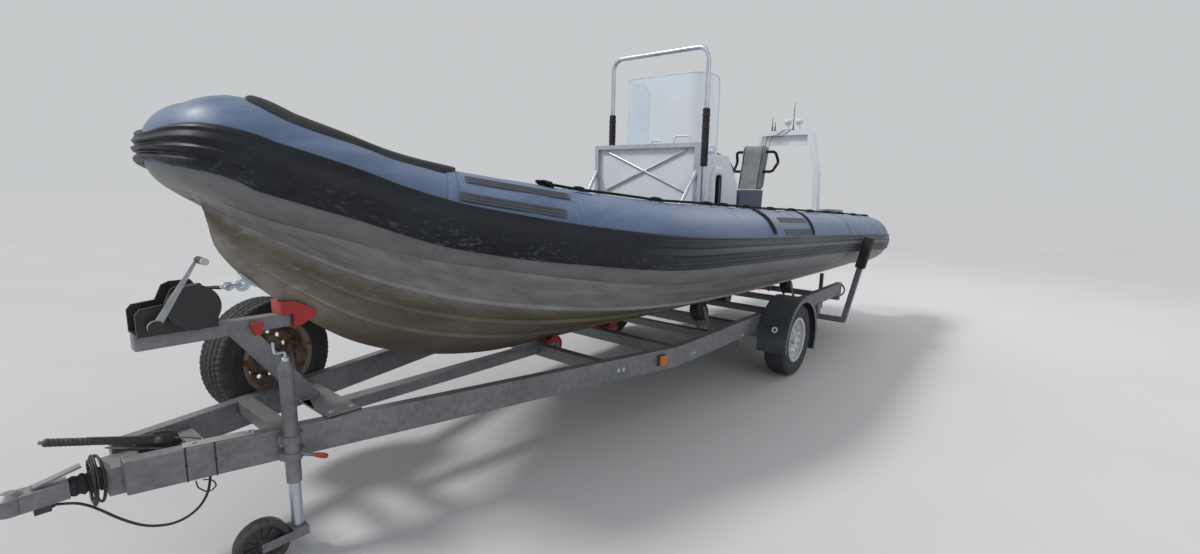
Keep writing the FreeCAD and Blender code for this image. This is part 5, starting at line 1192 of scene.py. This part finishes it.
# ---------------------------------------------------------------- arch and aerials
carry("stern_arch", "console_white", 0.016, 4)
ARCH_TOP = 2.3074
make("aerial_domes", [
    lathe([(0, 0), (0.029, 0), (0.029, 0.006), (0.019, 0.012), (0.019, 0.058),
           (0.025, 0.064), (0.041, 0.082), (0.0475, 0.098), (0.048, 0.108), (0.045, 0.12),
           (0.036, 0.13), (0.02, 0.136), (0, 0.138)], (-2.13, y, ARCH_TOP), UP, 48)
    for y in (0.01, 0.148)], "console_white", replaces="aerials")
make("aerial_whips", [
    lathe([(0, 0), (0.014, 0), (0.014, 0.01), (0.009, 0.018), (0.008, 0.05),
           (0.005, 0.06), (0.0035, length - 0.004), (0, length)], (-2.13, y, ARCH_TOP), UP, 20)
    for y, length in ((-0.185, 0.16), (-0.15, 0.11), (0.079, 0.325))], "dark_plastic")
make("aerial_wires", [
    tube(rounded([(-2.12, y0, 2.318), (-2.075, y0 - 0.01, 2.316),
                  (-2.07, (y0 + y1) / 2, 2.28 - drop), (-2.073, y1, 2.24),
                  (-2.072, y1 - 0.04, 2.05)], 0.05), 0.0032, 8)
    for y0, y1, drop in ((0.01, -0.22, 0.03), (0.079, -0.16, 0.045))], "cable_black")


# ---------------------------------------------------------------- road wheels
def tread(radius, height, angle):
    """Blocks and grooves across the tread."""
    if radius < 0.298:
        return 0
    groove_shade = max(0, *(1 - abs(height - place) / 0.006
                      for place in (-0.048, -0.016, 0.016, 0.048)))
    skew = 0.4 * height / 0.07
    cut = 0.5 + 0.5 * math.cos(68 * (angle + skew * 0.06) + (2 if abs(height) < 0.03 else 0))
    sipe = 0.75 if cut > 0.86 and abs(height) > 0.018 else 0
    return -0.0065 * max(groove_shade, sipe)


def tyre(name, centre, axis, **more):
    half = 0.0975
    outline = [(0.1835, -0.0728), (0.1955, -0.079), (0.196, -0.086), (0.205, -0.0925),
               (0.222, -0.0965), (0.24, -half), (0.252, -half), (0.254, -0.0987),
               (0.258, -0.0987), (0.26, -half), (0.27, -0.0965), (0.285, -0.093),
               (0.297, -0.0885), (0.3035, -0.0845), (0.3085, -0.078), (0.312, -0.07)]
    middle = [(0.315 - 0.003 * (h / 0.07) ** 2, h) for h in np.linspace(-0.068, 0.068, 35)]
    outline += middle + [(r, -h) for r, h in reversed(outline)]
    make(name, [lathe(outline, centre, axis, 300, tread, hollow=True)], "tyre_rubber",
         sharp=50, **more)


def nuts(name, outline, centre, ahead, up, out, start, count, material, **more):
    """Wheel nuts round a hub; start is the first one's place, in shares of their spacing."""
    face, circle = 0.0382, 0.056
    feet = around(centre + out * face, ahead, up, circle,
                  [2 * math.pi * (k + start) / count for k in range(count)])
    make(name, [lathe(outline, foot, out, 6) for foot in feet], material, sharp=25, **more)


AXLE_Z = 0.315
for side, way in SIDES:
    hub = Vector((0, way * 0.99, AXLE_Z))
    tyre("tyre_%s_tread" % side, hub, TO_PORT * way, body="wheel_" + side,
         replaces="tyre_" + side)
    carry("rim_" + side, "rim_silver", 0.0012)
    nuts("wheel_nuts_" + side, [(0, 0), (0.0125, 0), (0.0125, 0.012), (0.0095, 0.017),
                                (0, 0.018)], hub, AHEAD, UP, TO_PORT * way,
         0.25, 5, "rail_steel", body="wheel_" + side)

# The beams run straight at BEAM_Y as far as BEND_X, and lean in ahead of it. Their bolts and
# ties lie on their sides, FACE or LEAN_FACE from their middle
BEAM_Y, BEND_X, LEAN = 0.827, 1.609, 0.263
FACE, LEAN_FACE = 0.0302, 0.0312


def beam_y(x):
    """The port beam's middle, ahead of its bend."""
    return BEAM_Y - LEAN * (x - BEND_X)


along = Vector((1, LEAN, 0)).normalized()
spare_out = Vector((along.y, -along.x, 0))
spare_hub = Vector((3.568, -beam_y(3.568), 0.665)) + spare_out * 0.187
tyre("spare_tyre_tread", spare_hub, spare_out, replaces="spare_tyre")
carry("spare_rim", "rim_rusty", 0.0012)
carry("spare_carrier", "galvanised", 0.002)
nuts("spare_nuts", [(0, 0), (0.0125, 0), (0.0125, 0.014), (0, 0.018)], spare_hub,
     along, UP, spare_out, 0.1, 3, "galvanised")

# ---------------------------------------------------------------- trailer
for material, nodes in (
        ("galvanised", dict(
            beam_port=0.006, beam_starboard=0.006, cross_members=0.004, centre_beam=0.004,
            axle=0.003, winch_post=0.004, keel_brackets=0.001, side_brackets=0.001,
            guide_posts=0.004, lamp_posts=0.002, jockey_tube=0.0015, coupling=0.003,
            jockey_fork=0.0015)),
        ("guard_plastic", dict(mudguards=0.003)), ("winch_paint", dict(winch=0.003)),
        ("red_roller", dict(snubber=0.006, keel_rollers=0.003)),
        ("dark_roller", dict(side_rollers=0.006)), ("foam", dict(guide_pads=0.008)),
        ("dark_plastic", dict(plug=0.0015)), ("rail_steel", dict(jockey_leg=0)),
        ("lamp_lens", dict(lamps=0.003))):
    for name, bevel in nodes.items():
        carry(name, material, bevel)


# Handbrake: toothed quadrant, tapered lever with a ribbed grip, strut and pull rod
def on_brake(forward, rise, aside=0):
    return Vector((4.22 + forward, 0.034 + aside, 0.5146 + rise))


upper = [on_brake(x, z, -0.019) for x, z in ((0.08, 0.046), (0.052, 0.066), (0.01, 0.08),
                                             (-0.028, 0.076), (-0.06, 0.06))]
quadrant = [on_brake(-0.08, 0, -0.019), on_brake(0.06, 0, -0.019)]
for a, b in zip(upper, upper[1:]):
    for k in range(5):
        quadrant += [a + (b - a) * (k / 5), a + (b - a) * ((k + 0.35) / 5) + UP * 0.003]
lever_form = [on_brake(x, z, -0.006)
              for x, z in ((-0.055, 0.036), (-0.03, 0.022), (0.1, 0.066), (0.215, 0.104),
                           (0.21, 0.132), (0.09, 0.094), (-0.03, 0.062), (-0.055, 0.05))]
grip_run = [on_brake(0.2 + 0.125 * s, 0.113 + 0.039 * s) for s in np.linspace(0, 1, 41)]
grip_size = [0.0148 - 0.0014 * (k % 4 == 3) for k in range(40)] + [0.011]
make("handbrake_lever", [
    block((0.15, 0.07, 0.008), (4.21, 0.02, 0.5188)),
    slab(quadrant + upper[-1:], (0, 0.01, 0)), slab(lever_form, (0, 0.012, 0)),
    tube(grip_run, grip_size, 20),
    tube([on_brake(0.045, 0.03, 0.017), on_brake(0.105, 0.054, 0.017)], 0.0075, 16)],
     "dark_plastic", 0.0012, replaces="handbrake")
make("handbrake_rods", [
    tube([on_brake(-0.01, 0.012, 0.017), on_brake(0.165, 0.08, 0.017)], 0.0035, 12),
    tube(rounded([on_brake(-0.048, 0.043, 0.01), on_brake(-0.09, 0.03, 0.01),
                  on_brake(-0.135, 0.008, 0.01)], 0.03), 0.0035, 12),
    tube([on_brake(0.324, 0.1518), on_brake(0.336, 0.1555)], 0.0065, 14)]
     + hex_heads([on_brake(0.005, 0.053, 0.0065)], TO_PORT, 0.01, 0.007)
     + hex_heads([(x, y, 0.5228) for x in (4.15, 4.27) for y in (-0.004, 0.046)], UP,
                 0.007, 0.005), "galvanised", sharp=50)

# Bolt heads, a plate on the port beam, cable turns and ties
bolts = []
for side, way in SIDES:
    outer = way * (BEAM_Y + FACE)
    bolts += hex_heads([(x, outer, 0.466) for x in (1.402, 1.438)], TO_PORT * way)
    bolts += hex_heads([(x + step, outer, 0.44) for x in (-1.29, -0.6, 0.64)
                        for step in (-0.015, 0.015)], TO_PORT * way, 0.008)
    bolts += hex_heads([(x, way * (beam_y(x) + LEAN_FACE), 0.482)
                        for x in (2.062, 2.098, 3.815, 3.85)], (LEAN, way, 0))
    bolts += hex_heads([(x, way * 0.262, 0.5616) for x in (3.545, 3.64)], UP)
make("bolt_heads", bolts, "rail_steel", sharp=30)
plate_at = Vector((4.055, beam_y(4.055) - 0.004, 0.556))
plate_turn = Matrix.Rotation(-math.atan(LEAN), 3, "Z")
make("beam_plate", [block((0.245, 0.048, 0.005), plate_at, plate_turn)], "board_paint", 0.0015)
make("plate_bolts", hex_heads([plate_at + plate_turn @ Vector((x, 0, 0.0026))
                               for x in (-0.1, 0.085)], UP, 0.007, 0.005),
     "rail_steel", sharp=30)
ties = []
across = Vector((LEAN, 1, 0)).normalized()
for x in (4.166, 4.073):
    middle = Vector((x, beam_y(x), 0.484))
    corners = [middle + across * (a * LEAN_FACE) + UP * (b * 0.0702)
               for a, b in ((1, 0), (1, 1), (-1, 1), (-1, -1), (1, -1), (1, 0))]
    ties.append(flat_run(rounded(corners, 0.004, 3), 0.0008, -0.0028, 0.0028))
    ties.append(block((0.008, 0.006, 0.008), middle + across * 0.0325))
ties.append(tube(rounded([(4.15, 0.19, 0.4125), (4.146, 0.192, 0.3825),
                          (4.115, 0.2, 0.3505), (4.084, 0.208, 0.3725),
                          (4.1, 0.204, 0.4045), (4.128, 0.196, 0.4105)], 0.03), 0.0028, 10))
make("cable_ties", ties, "cable_black", sharp=60)
make("cable_turns", [coil((4.4185, 0.004, 0.462), (1, 0.03, 0.05), 0.086, 5, 0.026, 0.004),
                     coil((-1.97, 0.815, 0.462), (1, 0.05, 0), 0.07, 5, 0.022, 0.0036),
                     tube(rounded([(-1.9505, 0.827, 0.54), (-1.966, 0.827, 0.548),
                                   (-1.97, 0.822, 0.528)], 0.008), 0.003, 8)],
     "cable_black")

# Jockey wheel's crank on top of its tube, and the red tip of the clamp's lever
top = Vector((3.835, 0.31808, 0.862))
arm = [top + Vector(step) for step in ((0, 0, 0.012), (0, 0, 0.04), (0.045, 0.01, 0.044),
                                       (0.047, 0.01, 0.092))]
make("jockey_crank", [
    lathe([(0, 0), (0.014, 0), (0.014, 0.016), (0.009, 0.02), (0, 0.02)], top, UP, 24),
    tube(rounded(arm, 0.012), 0.0055, 12)], "rail_steel")
tip = Vector((3.74, 0.35808, 0.424))
aim = Vector((-0.065, 0.03, -0.023)).normalized()
make("clamp_tip", [tube([tip + aim * s for s in (-0.018, -0.014, 0.006, 0.024, 0.031, 0.034)],
                        [0.009, 0.0105, 0.012, 0.0115, 0.0085, 0.003], 18)], "red_roller")

# Winch strap: doubled webbing on an eye bar, a bent hook and a bow shackle in the eye
DRUM = Vector((4.074, 0, 1.0933))
PIN = Vector((3.873, 0, 1.1466))
strap_end = Vector((3.957, 0, 1.147))
strap_run = around(DRUM, UP, AHEAD, 0.0655, np.linspace(2.6, -0.3, 30))
strap_run += [strap_end + Vector((x, 0, z)) for x, z in (
    (0.045, 0.0072), (0, 0.0058), (-0.0055, 0), (0, -0.0058), (0.04, 0.001))]
roll = lathe([(0.0625, -0.0225), (0.065, -0.0225), (0.065, 0.0225), (0.0625, 0.0225)],
             DRUM, TO_PORT, hollow=True)
make("winch_webbing", [flat_run(strap_run, 0.0215, 0, 0.0018), roll], "strap_red", sharp=60,
     replaces="winch_strap")
hook = rounded([(3.948, 0, 1.147), (3.94, 0, 1.16), (3.918, 0, 1.161),
                (3.905, 0, 1.148), (3.912, 0, 1.133), (3.928, 0, 1.133),
                (3.934, 0, 1.144)], 0.012, 6)
bow = [PIN + Vector((0.02 + 0.036 * math.sin(a), 0.0165 * math.cos(a), 0))
       for a in np.linspace(0, math.pi, 20)]
bow = [PIN + TO_PORT * 0.0165] + bow + [PIN - TO_PORT * 0.0165]
eye_bar = rounded([(3.946, 0, 1.147), (3.948, 0.027, 1.147), (3.958, 0.027, 1.147),
                   (3.958, -0.027, 1.147), (3.948, -0.027, 1.147), (3.946, 0, 1.147)],
                  0.006, 4)
make("strap_hook", [
    tube(hook, 0.0052, 12), tube(bow, 0.005, 12), tube(eye_bar, 0.004, 10),
    lathe([(0, -0.021), (0.0085, -0.021), (0.0085, -0.01), (0.0062, -0.01),
           (0.0062, 0.01), (0.0085, 0.01), (0.0085, 0.024), (0, 0.024)], PIN,
          TO_PORT, 20)], "rail_steel", sharp=50)

# Jockey wheel: moulded, with a raised rim, a hub and ribs between them
JOCKEY = Vector((3.977, 0.31807846, 0.105))
outline = [(0.0081, -0.031), (0.024, -0.031), (0.026, -0.013), (0.071, -0.011),
           (0.078, -0.026), (0.086, -0.03), (0.097, -0.0305), (0.103, -0.026),
           (0.105, -0.018)]
ribs = []
for a in turns(12):
    for face in (0.0175, -0.0175):
        middle = JOCKEY + Vector((0.049 * math.cos(a), face, 0.049 * math.sin(a)))
        ribs.append(block((0.052, 0.012, 0.0035), middle, Matrix.Rotation(-a, 3, "Y")))
make("jockey_wheel_body", [lathe(outline + [(r, -h) for r, h in reversed(outline)], JOCKEY,
                                 TO_PORT, 96, hollow=True)] + ribs, "dark_plastic", 0.001,
     body="jockey_rolling_wheel", sharp=35, replaces="jockey_wheel")

# Bellows: soft ridges that run down towards the coupling head
start, end, low = 4.3923, 4.492, 0.034
outline = [(0.0255, 0)]
for share in np.linspace(0, 1, 97):
    ridge = 0.5 - 0.5 * math.cos(8 * math.pi * share)
    outline.append((low + (0.013 - 0.01 * share) * ridge ** 0.8, (end - start) * share))
outline.append((0.0255, end - start))
make("bellows_rubber", [lathe(outline, (start, 0, 0.459), (1, 0, 0), 56, hollow=True)], "foam",
     sharp=60, replaces="bellows")

# Lamps: rings and middles of the guards' reflectors, and frames of the side markers
reflectors, markers = [], []
out = Vector((math.cos(math.radians(22)), 0, math.sin(math.radians(22))))
for side, way in SIDES:
    face = Vector((0, way * 1.01, AXLE_Z)) + out * 0.3815
    reflectors.append(lathe([(0, 0.003), (0.0105, 0.0028), (0.0125, 0.0018), (0.013, 0)],
                            face, out, 32))
    reflectors.append(lathe([(0.0255, 0), (0.0262, 0.002), (0.03, 0.002), (0.0308, 0),
                             (0.0308, -0.008)], face, out, 40, hollow=True))
    across = Vector((LEAN, way, 0)).normalized()
    base = Vector((1.76, way * (beam_y(1.76) + 0.0313), 0.491))
    turn = Matrix((Vector((1, -way * LEAN, 0)).normalized(), across, UP)).transposed()
    markers.append(block((0.064, 0.01, 0.07), base + across * 0.0055, turn))
    for step in (-0.016, 0, 0.016):
        markers.append(block((0.054, 0.0012, 0.0012), base + across * 0.027 + UP * step, turn))
make("reflector_middles", reflectors, "dark_plastic", sharp=50)
make("marker_frames", markers, "dark_plastic", 0.0004)

# Cable: hangs from the port beam and rises to its plug
ROUTE = [(4096, 173, 413.9), (4101, 171, 366), (4115, 165, 319), (4141, 155, 278),
         (4177, 140, 248), (4220, 123, 233), (4265, 103, 235), (4308, 83, 249),
         (4345, 63, 274), (4380, 45, 304), (4412, 28, 338), (4446, 14, 371),
         (4486, 4, 398), (4533, 0, 409.7)]
data = bpy.data.curves.new("cable_run", "CURVE")
data.dimensions = "3D"
data.bevel_depth = 0.005
data.bevel_resolution = 6
data.resolution_u = 8
data.use_fill_caps = True
spline = data.splines.new("NURBS")
spline.points.add(len(ROUTE) - 1)
for point, place in zip(spline.points, ROUTE):
    point.co = tuple(P(*(c / 1000 for c in place))) + (1,)
spline.order_u = 3
spline.use_endpoint_u = True
lead = finished(linked("cable_run", data), "cable_black", "cable")

# ---------------------------------------------------------------- studio
ground = bpy.data.meshes.new("floor")
ground.from_pydata([(x, y, -0.002) for x in (-60, 60) for y in (-60, 60)], [],
                   [(0, 1, 3, 2)])
ground.materials.append(MATERIALS["floor_paper"])
linked("floor", ground)


def light(name, kind, aim, power, colour, place=(0, 0, 0)):
    data = bpy.data.lights.new(name, kind)
    data.energy = power
    data.color = colour
    obj = linked(name, data)
    obj.location = place
    obj.rotation_euler = Vector(aim).to_track_quat("-Z", "Y").to_euler()
    return data


light("key", "SUN", (-0.5, 0.45, -0.75), 2, (1, 0.975, 0.945)).angle = math.radians(12)
for name, aim, power, colour, place, size in (
        ("fill", (-3.5, -8.5, -3.5), 110, (0.93, 0.97, 1), (4, 8.5, 4.5), (7, 5)),
        ("back", (6.5, -2, -5.3), 120, (1, 0.98, 0.95), (-7, 2, 6.5), (5, 4))):
    panel = light(name, "AREA", aim, power, colour, place)
    panel.shape = "RECTANGLE"
    panel.size, panel.size_y = size
world = bpy.data.worlds.new("studio")
world.use_nodes = True
sky = world.node_tree.nodes["Background"]
sky.inputs["Color"].default_value = (0.86, 0.88, 0.9, 1)
sky.inputs["Strength"].default_value = 0.66
bpy.context.scene.world = world

# Camera, as fitted to the photo: its focal length is 556.415 of the frame's 1200 pixels
data = bpy.data.cameras.new("camera")
data.sensor_width = 36
data.lens = 36 * 556.415 / 1200
data.clip_start = 0.05
camera = linked("camera", data)
yaw, pitch, roll = (math.radians(a) for a in (219.428, 9.447, 1.196))
sight = Vector((math.cos(pitch) * math.cos(yaw), math.cos(pitch) * math.sin(yaw),
                -math.sin(pitch)))
right = sight.cross(UP).normalized()
over = right.cross(sight)
pose = Matrix((right * math.cos(roll) + over * math.sin(roll),
               over * math.cos(roll) - right * math.sin(roll), -sight)).transposed().to_4x4()
pose.translation = P(4.721, 2.723, 1.612)
camera.matrix_world = pose
bpy.context.scene.camera = camera
bpy.context.scene.view_settings.view_transform = "Standard"
